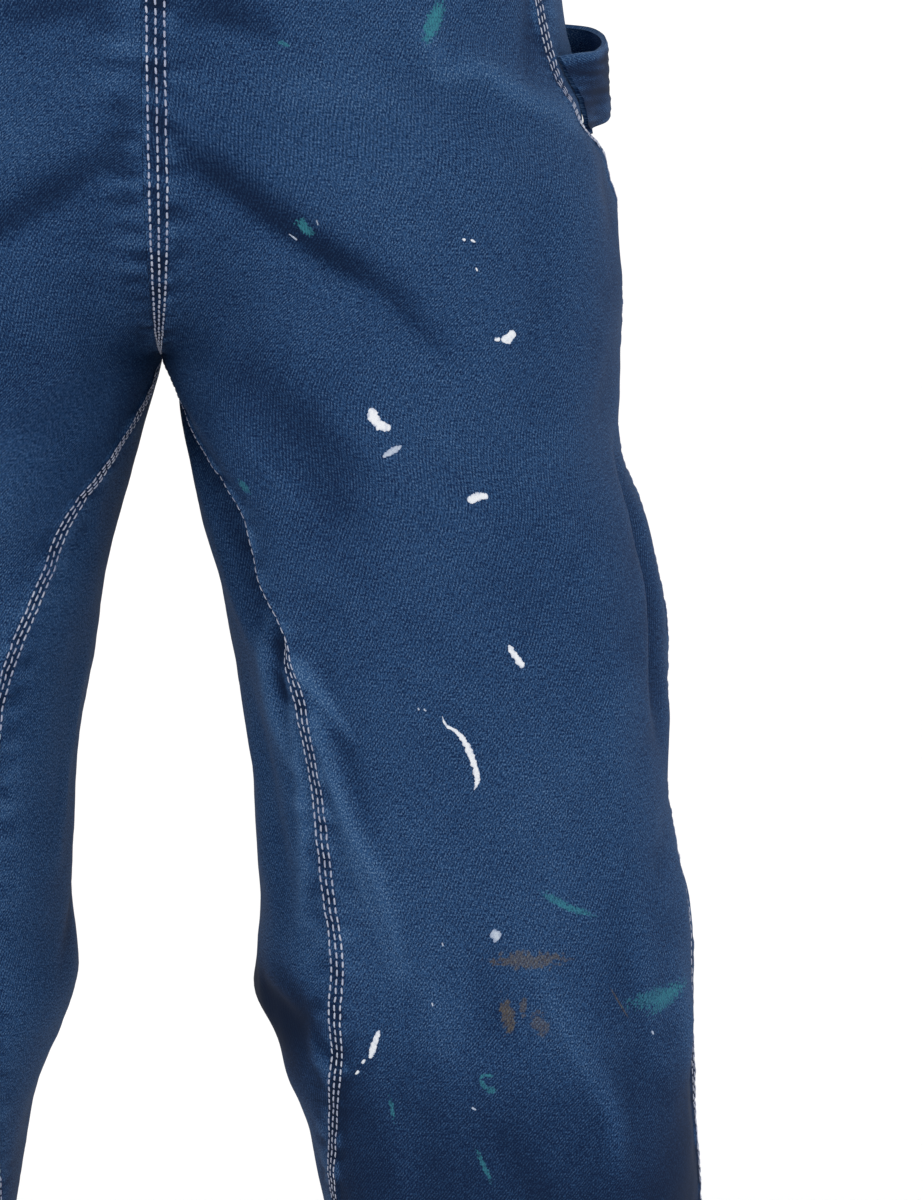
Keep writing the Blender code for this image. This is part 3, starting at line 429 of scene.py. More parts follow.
@dataclass(frozen=True)
class GarmentForm:
    """The worn form of the garment: its sections by height, and how its leg panels are cut from them."""

    waist_seam: float = 1.050
    hem_top: float = 0.056
    crotch: float = 0.680
    front_fork_top: float = 0.800
    back_fork_top: float = 0.860
    fork_row: float = 0.640
    leg_blend_top: float = 0.880
    leg_blend_end: float = 0.570
    squaring: float = 0.03
    # Height, half width, front depth, back depth
    torso_table: tuple = (
        (1.380, 0.168, 0.112, 0.118),
        (1.300, 0.170, 0.118, 0.122),
        (1.200, 0.170, 0.122, 0.118),
        (1.120, 0.166, 0.122, 0.113),
        (1.050, 0.166, 0.122, 0.117),
        (1.000, 0.170, 0.126, 0.125),
        (0.920, 0.176, 0.130, 0.137),
        (0.841, 0.182, 0.132, 0.144),
        (0.810, 0.187, 0.133, 0.146),
        (0.781, 0.196, 0.134, 0.146),
        (0.760, 0.205, 0.135, 0.144),
        (0.720, 0.209, 0.134, 0.139),
        (0.640, 0.209, 0.130, 0.126),
        (0.560, 0.226, 0.122, 0.104),
    )
    # Height, inner side and outer side in x, front and back in y
    leg_table: tuple = (
        (0.880, 0.000, 0.178, -0.131, 0.140),
        (0.800, 0.000, 0.190, -0.134, 0.146),
        (0.760, 0.000, 0.205, -0.136, 0.144),
        (0.720, 0.000, 0.209, -0.134, 0.139),
        (0.680, 0.000, 0.209, -0.131, 0.130),
        (0.640, 0.010, 0.209, -0.128, 0.119),
        (0.600, 0.021, 0.221, -0.124, 0.106),
        (0.563, 0.029, 0.228, -0.120, 0.096),
        (0.519, 0.037, 0.231, -0.115, 0.088),
        (0.460, 0.042, 0.234, -0.108, 0.082),
        (0.427, 0.043, 0.243, -0.104, 0.083),
        (0.390, 0.042, 0.246, -0.098, 0.087),
        (0.367, 0.050, 0.246, -0.094, 0.091),
        (0.333, 0.062, 0.246, -0.088, 0.095),
        (0.289, 0.071, 0.247, -0.080, 0.098),
        (0.200, 0.084, 0.250, -0.070, 0.096),
        (0.120, 0.092, 0.254, -0.066, 0.090),
        (0.030, 0.098, 0.259, -0.070, 0.086),
    )
    # Height, then where the outseam and the inseam run, in degrees from the outer side towards the front
    seam_table: tuple = (
        (1.050, 0.0, 180.0),
        (0.900, 10.0, 180.0),
        (0.845, 21.0, 180.0),
        (0.820, 20.0, 180.0),
        (0.792, 10.0, 180.0),
        (0.765, -2.0, 180.0),
        (0.730, -11.0, 180.0),
        (0.680, -12.0, 180.0),
        (0.650, -12.0, 163.0),
        (0.620, -11.0, 145.8),
        (0.590, -10.0, 141.3),
        (0.557, -9.0, 133.8),
        (0.535, -8.0, 131.3),
        (0.500, -6.0, 130.8),
        (0.442, -2.0, 129.3),
        (0.397, 0.0, 127.3),
        (0.365, 0.0, 133.3),
        (0.334, -1.0, 144.3),
        (0.298, -2.0, 154.8),
        (0.200, -2.0, 166.8),
        (0.030, -2.0, 172.8),
    )

    def squared(self, turn: Grid) -> tuple:
        """A slightly squared circle.

        Args:
            turn: Radians.

        Returns:
            Its cosine and its sine.
        """
        cosine = (np.cos(turn) - self.squaring * np.cos(3 * turn)) / (1 - self.squaring)
        sine = (np.sin(turn) + self.squaring * np.sin(3 * turn)) / (1 - self.squaring)
        return cosine, sine

    def torso(self, turn: Grid, height: Grid) -> Grid:
        """Points of the garment's body.

        Args:
            turn: Radians, 0 at the wearer's left and a quarter turn at the front.
            height: Heights above the floor.

        Returns:
            The points.
        """
        half, front, back = along(self.torso_table, height)
        cosine, sine = self.squared(turn)
        return np.stack([half * cosine, (back - front) / 2 - (back + front) / 2 * sine, height], axis=-1)

    def leg(self, turn: Grid, height: Grid) -> Grid:
        """Points of the left leg.

        Args:
            turn: Radians, 0 on the outer side and a quarter turn at the front.
            height: Heights above the floor.

        Returns:
            The points.
        """
        inner, outer, front, back = along(self.leg_table, height)
        cosine, sine = self.squared(turn)
        x = (inner + outer) / 2 + (outer - inner) / 2 * cosine
        return np.stack([x, (back + front) / 2 - (back - front) / 2 * sine, height], axis=-1)

    def share_down(self, height: float) -> float:
        """How far down a leg panel a height on the outseam is: 0 at the waist and 1 at the hem band."""
        return (self.waist_seam - height) / (self.waist_seam - self.hem_top)

    def plain_panel(self, face: Face, down: Grid, across: Grid) -> Grid:
        """Points of a leg panel before its folds.

        Args:
            face: The front or the back panel.
            down: Shares of the way from the waist seam to the hem band.
            across: Shares of the way from the outseam to the centre seam or inseam.

        Returns:
            Points of the left leg, heights above the floor.
        """
        down, across = np.broadcast_arrays(down, across)
        fork_top = self.front_fork_top if face is Face.FRONT else self.back_fork_top
        fork_start, fork_end = self.share_down(fork_top), self.share_down(self.fork_row)
        bend = np.clip((down - fork_start) / (fork_end - fork_start), 0.0, 1.0) * math.pi / 2
        outer_height = self.waist_seam - down * (self.waist_seam - self.hem_top)
        fork_height = fork_top - (fork_top - self.crotch) * np.sin(bend)
        inner_height = np.where(down < fork_start, outer_height, fork_height)
        below = self.crotch + (self.hem_top - self.crotch) * (down - fork_end) / (1 - fork_end)
        inner_height = np.where(down > fork_end, below, inner_height)
        height = outer_height + (inner_height - outer_height) * eased(across)

        blend_start, blend_end = self.share_down(self.leg_blend_top), self.share_down(self.leg_blend_end)
        in_leg = eased((down - blend_start) / (blend_end - blend_start))
        in_leg = in_leg + (1 - np.cos(bend) - in_leg) * across**4

        outseam, inseam = np.radians(along(self.seam_table, height))
        body = self.torso(outseam + (face.value * math.pi / 2 - outseam) * across, height)
        inner_turn = inseam if face is Face.FRONT else inseam - 2 * math.pi
        limb = self.leg(outseam + (inner_turn - outseam) * across, height)
        return body + (limb - body) * in_leg[..., None]

    def torso_skin(self, turn: Grid, height: Grid, lift: Grid) -> tuple:
        """Points and outward normals of cloth on the garment's body.

        Args:
            turn: Radians round the body.
            height: Heights above the floor.
            lift: How far the cloth stands off the body's own form.

        Returns:
            Points and unit normals.
        """
        turn, height, lift = np.broadcast_arrays(turn, height, lift)
        points = self.torso(turn, height)
        up, round_body = self.torso(turn, height + NORMAL_STEP), self.torso(turn + NORMAL_STEP, height)
        normals = unit(np.cross(up - points, round_body - points))
        normals *= np.sign((normals[..., :2] * points[..., :2]).sum(axis=-1))[..., None]
        return points + normals * lift[..., None], normals


FORM = GarmentForm()


@dataclass(frozen=True)
class FelledSeam:
    """A flat felled work seam: the front cloth folded over the back and sewn down with three rows."""

    rows: tuple = (1.8 * MM, 5.0 * MM, 8.2 * MM)
    width: float = 10.4 * MM
    lift: float = 0.85 * MM
    pucker: float = 0.34 * MM
    pucker_period: float = 9.5 * MM
    reach: float = 17 * MM
    shade: float = 0.22

    def rise(self, from_edge: Grid, run: Grid, lap: Grid, seed: int) -> tuple:
        """The seam's relief beside its edge.

        Args:
            from_edge: Distances from the seam's edge.
            run: Distances along the seam.
            lap: 1 where this cloth laps over its neighbour, 0 where it lies under.
            seed: Picks its puckers.

        Returns:
            How far the cloth stands proud, and a share for its wear.
        """
        stacked = np.stack([run, from_edge * 0.35], axis=-1)
        gather = ripple(stacked, self.pucker_period, seed, 10) * 0.75
        gather = gather + ripple(stacked, self.pucker_period * 2.4, seed + 1, 8) * 0.5
        window = bell((from_edge - self.width * 0.5) / (self.reach * 0.62))
        rise = self.pucker * gather * window
        # Pucker crowns worn paler, their troughs painted shade
        wear = 0.20 * np.clip(gather, -1.0, 1.6) * window
        band = eased((self.width + 0.8 * MM - from_edge) / (1.5 * MM))
        rise = rise + self.lift * lap * band * (0.45 + 0.55 * eased(from_edge / (1.1 * MM)))
        edge = bell((from_edge - 0.5 * MM) / (1.2 * MM)) + 0.7 * bell((from_edge - self.width) / (1.1 * MM))
        sewn = bell((from_edge - self.rows[1]) / (4.6 * MM))
        # Worn paler edges, and painted shade over the sewn band
        wear = wear + lap * (edge * (0.18 + 0.24 * np.clip(gather, -0.4, 1.4)) - self.shade * sewn)
        return rise, wear


@dataclass(frozen=True)
class InseamTuck:
    """The front cloth hanging over the thigh's inseam, so that the seam turns away behind a soft edge."""

    heights: tuple = (0.682, 0.660, 0.574, 0.546)
    depth: float = 9 * MM
    seam_shift: float = 13 * MM
    edge_shift: float = 4 * MM
    front_reach: float = 9 * MM
    front_fade: float = 30 * MM
    back_reach: float = 40 * MM
    shade: float = 0.42
    light: float = 0.30

    def shift(self, face: Face, from_seam: Grid, height: Grid) -> tuple:
        """How far the cloth is pushed beside the seam.

        Args:
            face: The panel.
            from_seam: Distances from the inseam.
            height: Heights above the floor.

        Returns:
            Moves of the left leg's points, and a share for their wear: a paler worn edge on the front, and
            painted shade on the back panel behind it.
        """
        top, full_top, full_bottom, bottom = self.heights
        share = eased((top - height) / (top - full_top)) * eased((height - bottom) / (full_bottom - bottom))
        moves = np.zeros((*height.shape, 3))
        if face is Face.FRONT:
            turned = eased(from_seam / self.front_reach)
            moves[..., 1] = self.depth * share * (1 - turned)
            past_edge = 1 - eased((from_seam - self.front_reach) / self.front_fade)
            eased_out = self.edge_shift * turned * past_edge
            moves[..., 0] = share * (self.seam_shift * (1 - turned) + eased_out)
            wear = self.light * bell((from_seam - 0.8 * self.front_reach) / (2.0 * MM))
        else:
            nearness = share * (1 - eased(from_seam / self.back_reach))
            moves[..., 1] = self.depth * nearness
            moves[..., 0] = self.seam_shift * nearness
            # Painted shade on the back panel, hidden behind the front's edge
            wear = -self.shade * bell(from_seam / (0.6 * self.back_reach))
        return moves, wear * share


@dataclass
class LegPanel:
    """One panel of a leg: its surface with every fold, seam and crease on it."""

    side: Side
    face: Face
    seam: FelledSeam = field(default_factory=FelledSeam)
    tuck: InseamTuck = field(default_factory=InseamTuck)
    waist_fade: float = 0.060
    centre_fade: float = 0.022
    hem_fade: float = 0.050
    hem_edge: float = 0.030
    slack: float = 0.85 * MM

    def __post_init__(self) -> None:
        """Measures the panel's width at each height, for distances from its seams."""
        down = np.linspace(0.0, 1.03, 220)[:, None]
        points = FORM.plain_panel(self.face, down, np.linspace(0.0, 1.0, 41)[None, :])
        steps = np.linalg.norm(np.diff(points, axis=1), axis=-1)
        self.width_at = (down[:, 0], steps.sum(axis=1))
        edge = FORM.plain_panel(self.face, down, np.array([[0.0, 1.0]]))
        lengths = np.linalg.norm(np.diff(edge, axis=0), axis=-1)
        self.run_at = np.concatenate([[[0.0, 0.0]], np.cumsum(lengths, axis=0)])

    @property
    def folds(self) -> tuple:
        """Every fold that this panel may carry."""
        own = LEFT_FOLDS + LEFT_CREASES if self.side is Side.LEFT else RIGHT_FOLDS + OTHER_CREASES
        return own + BACK_CREASES

    def width(self, down: Grid) -> Grid:
        """The panel's width across, from seam to seam."""
        return np.interp(down, *self.width_at)

    def run(self, down: Grid, edge: int) -> Grid:
        """How far along the outseam (0) or the inseam (1) a row meets it."""
        return np.interp(down, self.width_at[0], self.run_at[:, edge])

    def plain(self, down: Grid, across: Grid) -> Grid:
        """The panel before its folds."""
        return FORM.plain_panel(self.face, down, across)

    def outward(self, surface: Surface, down: Grid, across: Grid) -> Grid:
        """Unit normals of a surface of this panel.

        Args:
            surface: Gives points for shares down and across.
            down: Shares down.
            across: Shares across.

        Returns:
            Normals that point out of the left leg.
        """
        step = NORMAL_STEP
        before, after = np.maximum(across - step, 0.0), np.minimum(across + step, 1.0)
        row_way = surface(down, after) - surface(down, before)
        leg_way = surface(down + step, across) - surface(down - step, across)
        return unit(self.face.value * np.cross(row_way, leg_way))

    def dressed(self, down: Grid, across: Grid) -> tuple:
        """The panel with its folds, slack and seams.

        Args:
            down: Shares down.
            across: Shares across.

        Returns:
            Points of the left leg, heights above the floor, and the cloth's wear from -1 to 1, with the
            painted shade of troughs, seams and the tuck below 0.
        """
        down, across = np.broadcast_arrays(down, across)
        points = self.plain(down, across)
        normals = self.outward(self.plain, down, across)
        moved, wear = np.zeros(down.shape), np.zeros(down.shape)
        for fold in self.folds:
            rise, lighter = fold.rise(points, normals)
            moved += rise
            wear += lighter
        seed = 40 if self.side is Side.LEFT else 140
        broad, fine = ripple(points, 0.070, seed), ripple(points, 0.024, seed + 1)
        moved += self.slack * broad + 0.15 * MM * fine + 0.05 * MM * ripple(points, 0.010, seed + 2)
        # The tone varies at random, and is a little paler on the slack's crowns and darker in its hollows as
        # painted shade
        wear += 0.035 * ripple(points, 0.110, seed + 3) + 0.02 * broad + 0.02 * fine
        fade = eased(np.abs(points[..., 0]) / self.centre_fade)
        fade = fade * eased((FORM.waist_seam - points[..., 2]) / self.waist_fade)
        fade = fade * eased((points[..., 2] - self.hem_edge) / self.hem_fade)
        moved = moved * fade
        wide = self.width(down)
        for edge, share in ((0, across), (1, 1 - across)):
            offset = 300 if edge else 200
            from_edge = share * wide - (self.swing(points[..., 2]) if edge == 0 else 0.0)
            run, lap = self.run(down, edge), self.lap(edge, down)
            rise, lighter = self.seam.rise(from_edge, run, lap, seed + offset)
            moved = moved + rise
            wear = wear + lighter
        points = points + normals * moved[..., None]
        if self.side is Side.LEFT:
            moves, lighter = self.tuck.shift(self.face, (1 - across) * wide, points[..., 2])
            points, wear = points + moves, wear + lighter
        return points, wear

    def lap(self, edge: int, down: Grid) -> Grid:
        """Where this panel laps over its neighbour: the front over the back, the left panels over the right.

        Args:
            edge: 0 for the outseam, 1 for the centre seam and inseam.
            down: Shares down.

        Returns:
            1 where it laps over, 0 where it lies under.
        """
        below_fork = eased((down - FORM.share_down(FORM.fork_row) - 0.002) / 0.012)
        if edge == 0:
            return np.full(down.shape, 1.0 if self.face is Face.FRONT else 0.0)
        if self.face is Face.FRONT:
            return np.ones(down.shape) if self.side is Side.LEFT else below_fork
        return 1 - below_fork if self.side is Side.LEFT else np.zeros(down.shape)

    def swing(self, height: Grid) -> Grid:
        """How far the outseam's stitched band lies in front of the panels' meeting line, beside the loop.

        Args:
            height: Heights above the floor.

        Returns:
            Distances across the front panel.
        """
        if self.side is Side.RIGHT or self.face is Face.BACK:
            return np.zeros(np.shape(height))
        return 24.0 * MM * bell((height - 0.790) / 0.020) * eased((height - 0.757) / 0.026)

    def skin(self, down: Grid, across: Grid) -> Grid:
        """Points of the dressed left panel."""
        return self.dressed(down, across)[0]

    def placed(self, points: Grid) -> Grid:
        """Points on the panel's own side of the garment, in the row frame.

        Args:
            points: Points of the left leg, heights above the floor.

        Returns:
            The points in the row frame.
        """
        made = points.copy()
        made[..., 0] = np.maximum(made[..., 0], 0.1 * MM) * self.side.value
        made[..., 2] -= SHOULDER_TOP
        return made

    def path(self, down: Grid, across: Grid, lift: float = 0.0) -> tuple:
        """A line on the panel for a row of stitches.

        Args:
            down: Shares down, one for each point.
            across: Shares across.
            lift: How far above the cloth it lies.

        Returns:
            Points and normals in the row frame.
        """
        points = self.skin(down, across)
        normals = self.outward(self.skin, down, across)
        mirror = np.array([self.side.value, 1.0, 1.0])
        return self.placed(points + normals * lift), normals * mirror


@dataclass(frozen=True)
class ClothShell:
    """A grid of cloth made into a thin closed shell with a right side, a wrong side and cut edges."""

    node: str
    points: Grid
    depth: float
    wear: Grid
    flip: bool = False
    warp_down: bool = True
    crosswise: bool = False
    # Painted light added on the inner face
    inner_wear: float = 0.0
    sharp_turn: float = 62.0

    def cloth_map(self) -> Grid:
        """Distances across and along the cloth, in metres, for the weave."""
        points = self.points
        steps = np.linalg.norm(np.diff(points[..., :2] if self.warp_down else points, axis=1), axis=-1)
        u = np.concatenate([np.zeros((len(points), 1)), np.cumsum(steps, axis=1)], axis=1)
        u -= u[:, u.shape[1] // 2][:, None]
        u = -u if self.flip else u
        if self.warp_down:
            v = points[..., 2]
        else:
            rows = np.linalg.norm(np.diff(points, axis=0), axis=-1).mean(axis=1)
            v = np.broadcast_to(np.concatenate([[0.0], -np.cumsum(rows)])[:, None], u.shape)
        return np.stack([v, -u] if self.crosswise else [u, v], axis=-1)

    def build(self, right_side: bpy.types.Material, wrong_side: bpy.types.Material) -> bpy.types.Object:
        """Makes the shell's object and puts it on the garment in place of its solid.

        Args:
            right_side: The finish of the outer side.
            wrong_side: The finish of the inner side.

        Returns:
            The object, at the origin, with the weave's map and the wear on it; the wear also carries painted
            shade, and the inner face painted light.
        """
        points = self.points
        normals = -grid_normals(points) if self.flip else grid_normals(points)
        rows, columns = points.shape[:2]
        count = rows * columns
        inner = points - normals * self.depth
        verts = np.concatenate([points.reshape(-1, 3), inner.reshape(-1, 3)])
        index = np.arange(count).reshape(rows, columns)
        here, following = index[:, :-1], index[:, 1:]
        quads = np.stack([here[:-1], here[1:], following[1:], following[:-1]], axis=-1).reshape(-1, 4)
        loop = np.concatenate([index[:-1, 0], index[-1, :-1], index[:0:-1, -1], index[0, :0:-1]])
        pairs = np.stack([loop, np.roll(loop, -1)], axis=-1)
        edge = np.stack([pairs[:, 1], pairs[:, 0], pairs[:, 0] + count, pairs[:, 1] + count], axis=-1)
        if self.flip:
            quads, edge = quads[:, ::-1], edge[:, ::-1]
        faces = np.concatenate([quads, quads[:, ::-1] + count, edge])
        mesh = bpy.data.meshes.new(f"cloth_{self.node}")
        mesh.from_pydata(verts.tolist(), [], faces.tolist())
        mesh.materials.append(right_side)
        mesh.materials.append(wrong_side)
        inside = np.zeros(len(faces), np.int32)
        inside[len(quads) : 2 * len(quads)] = 1
        mesh.polygons.foreach_set("material_index", inside)
        corners = np.zeros(len(mesh.loops), np.int32)
        mesh.loops.foreach_get("vertex_index", corners)
        cloth_map = np.tile(self.cloth_map().reshape(-1, 2), (2, 1))
        layer = mesh.uv_layers.new(name="cloth")
        layer.data.foreach_set("uv", cloth_map[corners].astype(np.float32).ravel())
        outer_wear = self.wear.ravel()
        set_wear(mesh, np.concatenate([outer_wear, outer_wear + self.inner_wear]))
        mesh.shade_smooth()
        mesh.set_sharp_from_angle(angle=math.radians(self.sharp_turn))
        return worn(add_object(mesh.name, mesh), self.node)


def set_wear(mesh: bpy.types.Mesh, wear: Grid) -> None:
    """Gives each point of a mesh its wear."""
    layer = mesh.attributes.new("wear", "FLOAT", "POINT")
    layer.data.foreach_set("value", np.asarray(wear, np.float32))


def add_object(name: str, data: object) -> bpy.types.Object:
    """Puts a new object with this data into the scene, at the origin."""
    made = bpy.data.objects.new(name, data)
    bpy.context.scene.collection.objects.link(made)
    return made


def worn(piece: bpy.types.Object, *nodes: str) -> bpy.types.Object:
    """Puts a piece of cloth, thread or paint on the garment's body.

    Args:
        piece: The piece.
        nodes: The solids that it stands for.

    Returns:
        The same piece.
    """
    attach(piece, "root")
    if nodes:
        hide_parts(*nodes)
    LOG.info("%s: %d faces", piece.name, len(piece.data.polygons))
    return piece


def add_node(
    tree: bpy.types.NodeTree,
    kind: str,
    links: dict | None = None,
    values: dict | None = None,
    **settings: object,
) -> bpy.types.Node:
    """Adds a node with its settings and links.

    Args:
        tree: The node tree.
        kind: The node's type.
        links: Input names or numbers, each with the socket that feeds it.
        values: Input names or numbers, each with its own value.
        settings: The node's properties.

    Returns:
        The node.
    """
    node = tree.nodes.new(kind)
    for name, value in settings.items():
        setattr(node, name, value)
    for key, value in (values or {}).items():
        node.inputs[key].default_value = value
    for key, source in (links or {}).items():
        tree.links.new(source, node.inputs[key])
    return node


def linear(hex_colour: str) -> tuple:
    """An sRGB hex colour as linear red, green, blue and 1."""
    parts = [int(hex_colour[k : k + 2], 16) / 255 for k in (0, 2, 4)]
    made = [c / 12.92 if c <= 0.04045 else ((c + 0.055) / 1.055) ** 2.4 for c in parts]
    return (*made, 1.0)


def sum_of(tree: bpy.types.NodeTree, start: float, terms: Iterable[tuple]) -> bpy.types.NodeSocket:
    """A weighted sum.

    Args:
        tree: The node tree.
        start: The number that the terms are added to.
        terms: Pairs of a socket and its weight.

    Returns:
        The sum's socket.
    """
    made = None
    for socket, weight in terms:
        first = {1: weight, 2: start} if made is None else {1: weight}
        links = {0: socket} if made is None else {0: socket, 2: made}
        made = add_node(tree, "ShaderNodeMath", links, first, operation="MULTIPLY_ADD").outputs[0]
    return made


def layered(tree: bpy.types.NodeTree, base: str, layers: Iterable[tuple]) -> bpy.types.NodeSocket:
    """A colour with others laid over it, each by its own share.

    Args:
        tree: The node tree.
        base: The lowest colour, in hex.
        layers: Pairs of the socket of a share and the hex colour that it lays on.

    Returns:
        The colour's socket.
    """
    under = None
    for share, colour in layers:
        # Of the colour mix's inputs, 6 is the colour below and 7 the colour laid on
        links, values = {0: share}, {7: linear(colour)}
        if under is None:
            values[6] = linear(base)
        else:
            links[6] = under
        mix = add_node(tree, "ShaderNodeMix", links, values, data_type="RGBA", clamp_factor=True)
        under = mix.outputs[2]
    return under


@dataclass
class Coat:
    """A material in the making: its node tree, and its Principled shader."""

    name: str

    def __post_init__(self) -> None:
        """Makes the material as it first is."""
        self.material = bpy.data.materials.new(self.name)
        self.material.use_nodes = True
        self.tree = self.material.node_tree
        self.shader = self.tree.nodes["Principled BSDF"]

    def finish(
        self, colour: bpy.types.NodeSocket, relief: bpy.types.NodeSocket, bump: tuple, values: dict
    ) -> bpy.types.Material:
        """Joins the colour and the relief to the shader.

        Args:
            colour: The base colour's socket.
            relief: The socket of the surface's height.
            bump: How much of the relief shows, and its real height.
            values: The shader's uniform values by input.

        Returns:
            The finished material.
        """
        sizes = dict(zip(("Strength", "Distance"), bump))
        made = add_node(self.tree, "ShaderNodeBump", {"Height": relief}, sizes)
        self.tree.links.new(colour, self.shader.inputs["Base Color"])
        self.tree.links.new(made.outputs[0], self.shader.inputs["Normal"])
        for key, value in values.items():
            self.shader.inputs[key].default_value = value
        return self.material


class StainTone(Enum):
    """What a flat mark on the cloth is."""

    TEAL = "teal"
    RUST = "rust"


@dataclass(frozen=True)
class Stain:
    """A flat mark soaked or brushed into the cloth, from one point of the picture to another."""

    tone: StainTone
    start: tuple
    end: tuple
    breadth: float
    ragged: float = 0.5
    strength: float = 0.8
    grain: float = 900.0


@dataclass(frozen=True)
class PlacedStain:
    """A stain on its panel: its middle and its half sizes in x and z, and its turn."""

    stain: Stain
    middle: Vector
    turn: float
    half_length: float
    half_breadth: float


@dataclass(frozen=True)
class DenimFinish:
    """Washed indigo denim: a 3/1 right-hand twill of ring-spun cotton, blue warp over white weft.

    The ribs climb from lower left to upper right, pale weft flecks show between them, and the dye is worn off
    where the cloth stands proud. Where the wear is below 0, a dark crease colour is laid on as painted shade.
    The surface is matt with a short nap. Pitches are in millimetres.
    """

    warp_pitch: float = 0.40
    weft_pitch: float = 0.60
    rib_ends: int = 4
    relief: float = 0.16 * MM
    deep: str = "081e40"
    worn: str = "274972"
    pale: str = "6885a6"
    crease: str = "0d1a2f"
    teal: str = "357a88"
    rust: str = "6c5a20"
    reverse_deep: str = "4a5c7c"
    reverse_pale: str = "8d9bb4"

    def weave(self, tree: bpy.types.NodeTree) -> dict:
        """Adds the twill.

        Args:
            tree: The node tree.

        Returns:
            Sockets: rib, slub, weft, fleck, speck, mottle, patch and the height for the bump.
        """
        uv = add_node(tree, "ShaderNodeUVMap", uv_map="cloth").outputs[0]
        per_metre = {1: (1000, 1000, 1)}
        mm = add_node(tree, "ShaderNodeVectorMath", {0: uv}, per_metre, operation="MULTIPLY").outputs[0]
        ways = add_node(tree, "ShaderNodeSeparateXYZ", {0: mm}).outputs
        sway = add_node(tree, "ShaderNodeTexNoise", {"Vector": mm}, {"Scale": 0.16, "Detail": 1.0}).outputs[0]
        # One warp end's step for each pick gives the ribs their slope
        turn = 2 * math.pi / (self.rib_ends * self.warp_pitch)
        rise = -turn * self.warp_pitch / self.weft_pitch
        phase = sum_of(tree, 0.0, [(ways[0], turn), (ways[1], rise), (sway, 3.0)])
        rib = add_node(tree, "ShaderNodeMath", {0: phase}, operation="SINE").outputs[0]

        def yarn(across: float, up: float, detail: float = 1.0) -> bpy.types.NodeSocket:
            """Noise stretched along the yarns.

            Args:
                across: Its size across the cloth, in millimetres.
                up: Its size along the cloth, in millimetres.
                detail: How many finer noises lie on it.

            Returns:
                The noise's socket.
            """
            size = {1: (1 / across, 1 / up, 1)}
            scaled = add_node(tree, "ShaderNodeVectorMath", {0: mm}, size, operation="MULTIPLY").outputs[0]
            values = {"Scale": 1.0, "Detail": detail}
            made = add_node(tree, "ShaderNodeTexNoise", {"Vector": scaled}, values, noise_dimensions="2D")
            return made.outputs[0]

        slub, weft = yarn(self.warp_pitch * 1.6, 2.6), yarn(4.0, self.weft_pitch * 1.5)
        # A fleck is one weft float; drawn about twice its real size, which is the finest that still shows
        speck = yarn(0.55, 0.9, 2.0)
        fleck = add_node(tree, "ShaderNodeMapRange", {"Value": speck}, {"From Min": 0.52, "From Max": 0.72})
        height = sum_of(tree, 0.0, [(rib, 0.22), (slub, 0.8), (weft, 0.4), (speck, 0.5)])
        mottle, patch = yarn(11.0, 16.0, 3.0), yarn(60.0, 85.0, 2.0)
        parts = {"rib": rib, "slub": slub, "weft": weft, "fleck": fleck.outputs[0], "speck": speck}
        return parts | {"mottle": mottle, "patch": patch, "height": height}

    def stain_share(self, tree: bpy.types.NodeTree, placed: PlacedStain) -> bpy.types.NodeSocket:
        """How much of a stain covers each point.

        Args:
            tree: The node tree.
            placed: The stain.

        Returns:
            A share from 0 to the stain's strength.
        """
        stain = placed.stain
        spot = add_node(tree, "ShaderNodeTexCoord").outputs["Object"]
        middle, turn = {1: placed.middle}, {"Angle": placed.turn}
        off = add_node(tree, "ShaderNodeVectorMath", {0: spot}, middle, operation="SUBTRACT").outputs[0]
        turned = add_node(tree, "ShaderNodeVectorRotate", {0: off}, turn, rotation_type="Y_AXIS").outputs[0]
        halves = {1: (1 / placed.half_length, 0.0, 1 / placed.half_breadth)}
        shaped = add_node(tree, "ShaderNodeVectorMath", {0: turned}, halves, operation="MULTIPLY").outputs[0]
        away = add_node(tree, "ShaderNodeVectorMath", {0: shaped}, operation="LENGTH").outputs["Value"]
        grain = {"Scale": stain.grain, "Detail": 3.0}
        rough = add_node(tree, "ShaderNodeTexNoise", {"Vector": spot}, grain).outputs[0]
        edge = sum_of(tree, -2.2 * stain.ragged, [(rough, 4.4 * stain.ragged), (away, 1.0)])
        reach = {"From Min": 1.12, "From Max": 0.78, "To Max": stain.strength}
        return add_node(tree, "ShaderNodeMapRange", {"Value": edge}, reach).outputs[0]

    def right_side(self, name: str, stains: Sequence[PlacedStain] = ()) -> bpy.types.Material:
        """The blue side of the cloth.

        Args:
            name: The material's name.
            stains: Flat marks on it.

        Returns:
            The material.
        """
        coat = Coat(name)
        tree, cloth = coat.tree, self.weave(coat.tree)
        wear = add_node(tree, "ShaderNodeAttribute", attribute_name="wear").outputs["Fac"]
        weights = {"rib": -0.22, "slub": 1.05, "weft": 0.75, "speck": 2.05, "mottle": 0.14, "patch": 0.10}
        terms = [(cloth[part], weight) for part, weight in weights.items()]
        tone = sum_of(tree, -1.56, [*terms, (wear, 1.15)])
        light = sum_of(tree, 0.36, [(wear, 1.3), (cloth["rib"], -0.22)])
        seen = {0: light, 1: cloth["fleck"]}
        fleck = add_node(tree, "ShaderNodeMath", seen, operation="MULTIPLY", use_clamp=True).outputs[0]
        # Painted shade: the dark crease colour is laid where the wear falls below 0, in troughs, over seams,
        # behind the inseam's edge and towards the leg's sides
        fall = {"From Min": -0.04, "From Max": -0.5, "To Max": 0.8}
        painted_shade_share = add_node(tree, "ShaderNodeMapRange", {"Value": wear}, fall).outputs[0]
        layers = [(tone, self.worn), (fleck, self.pale), (painted_shade_share, self.crease)]
        for placed in stains:
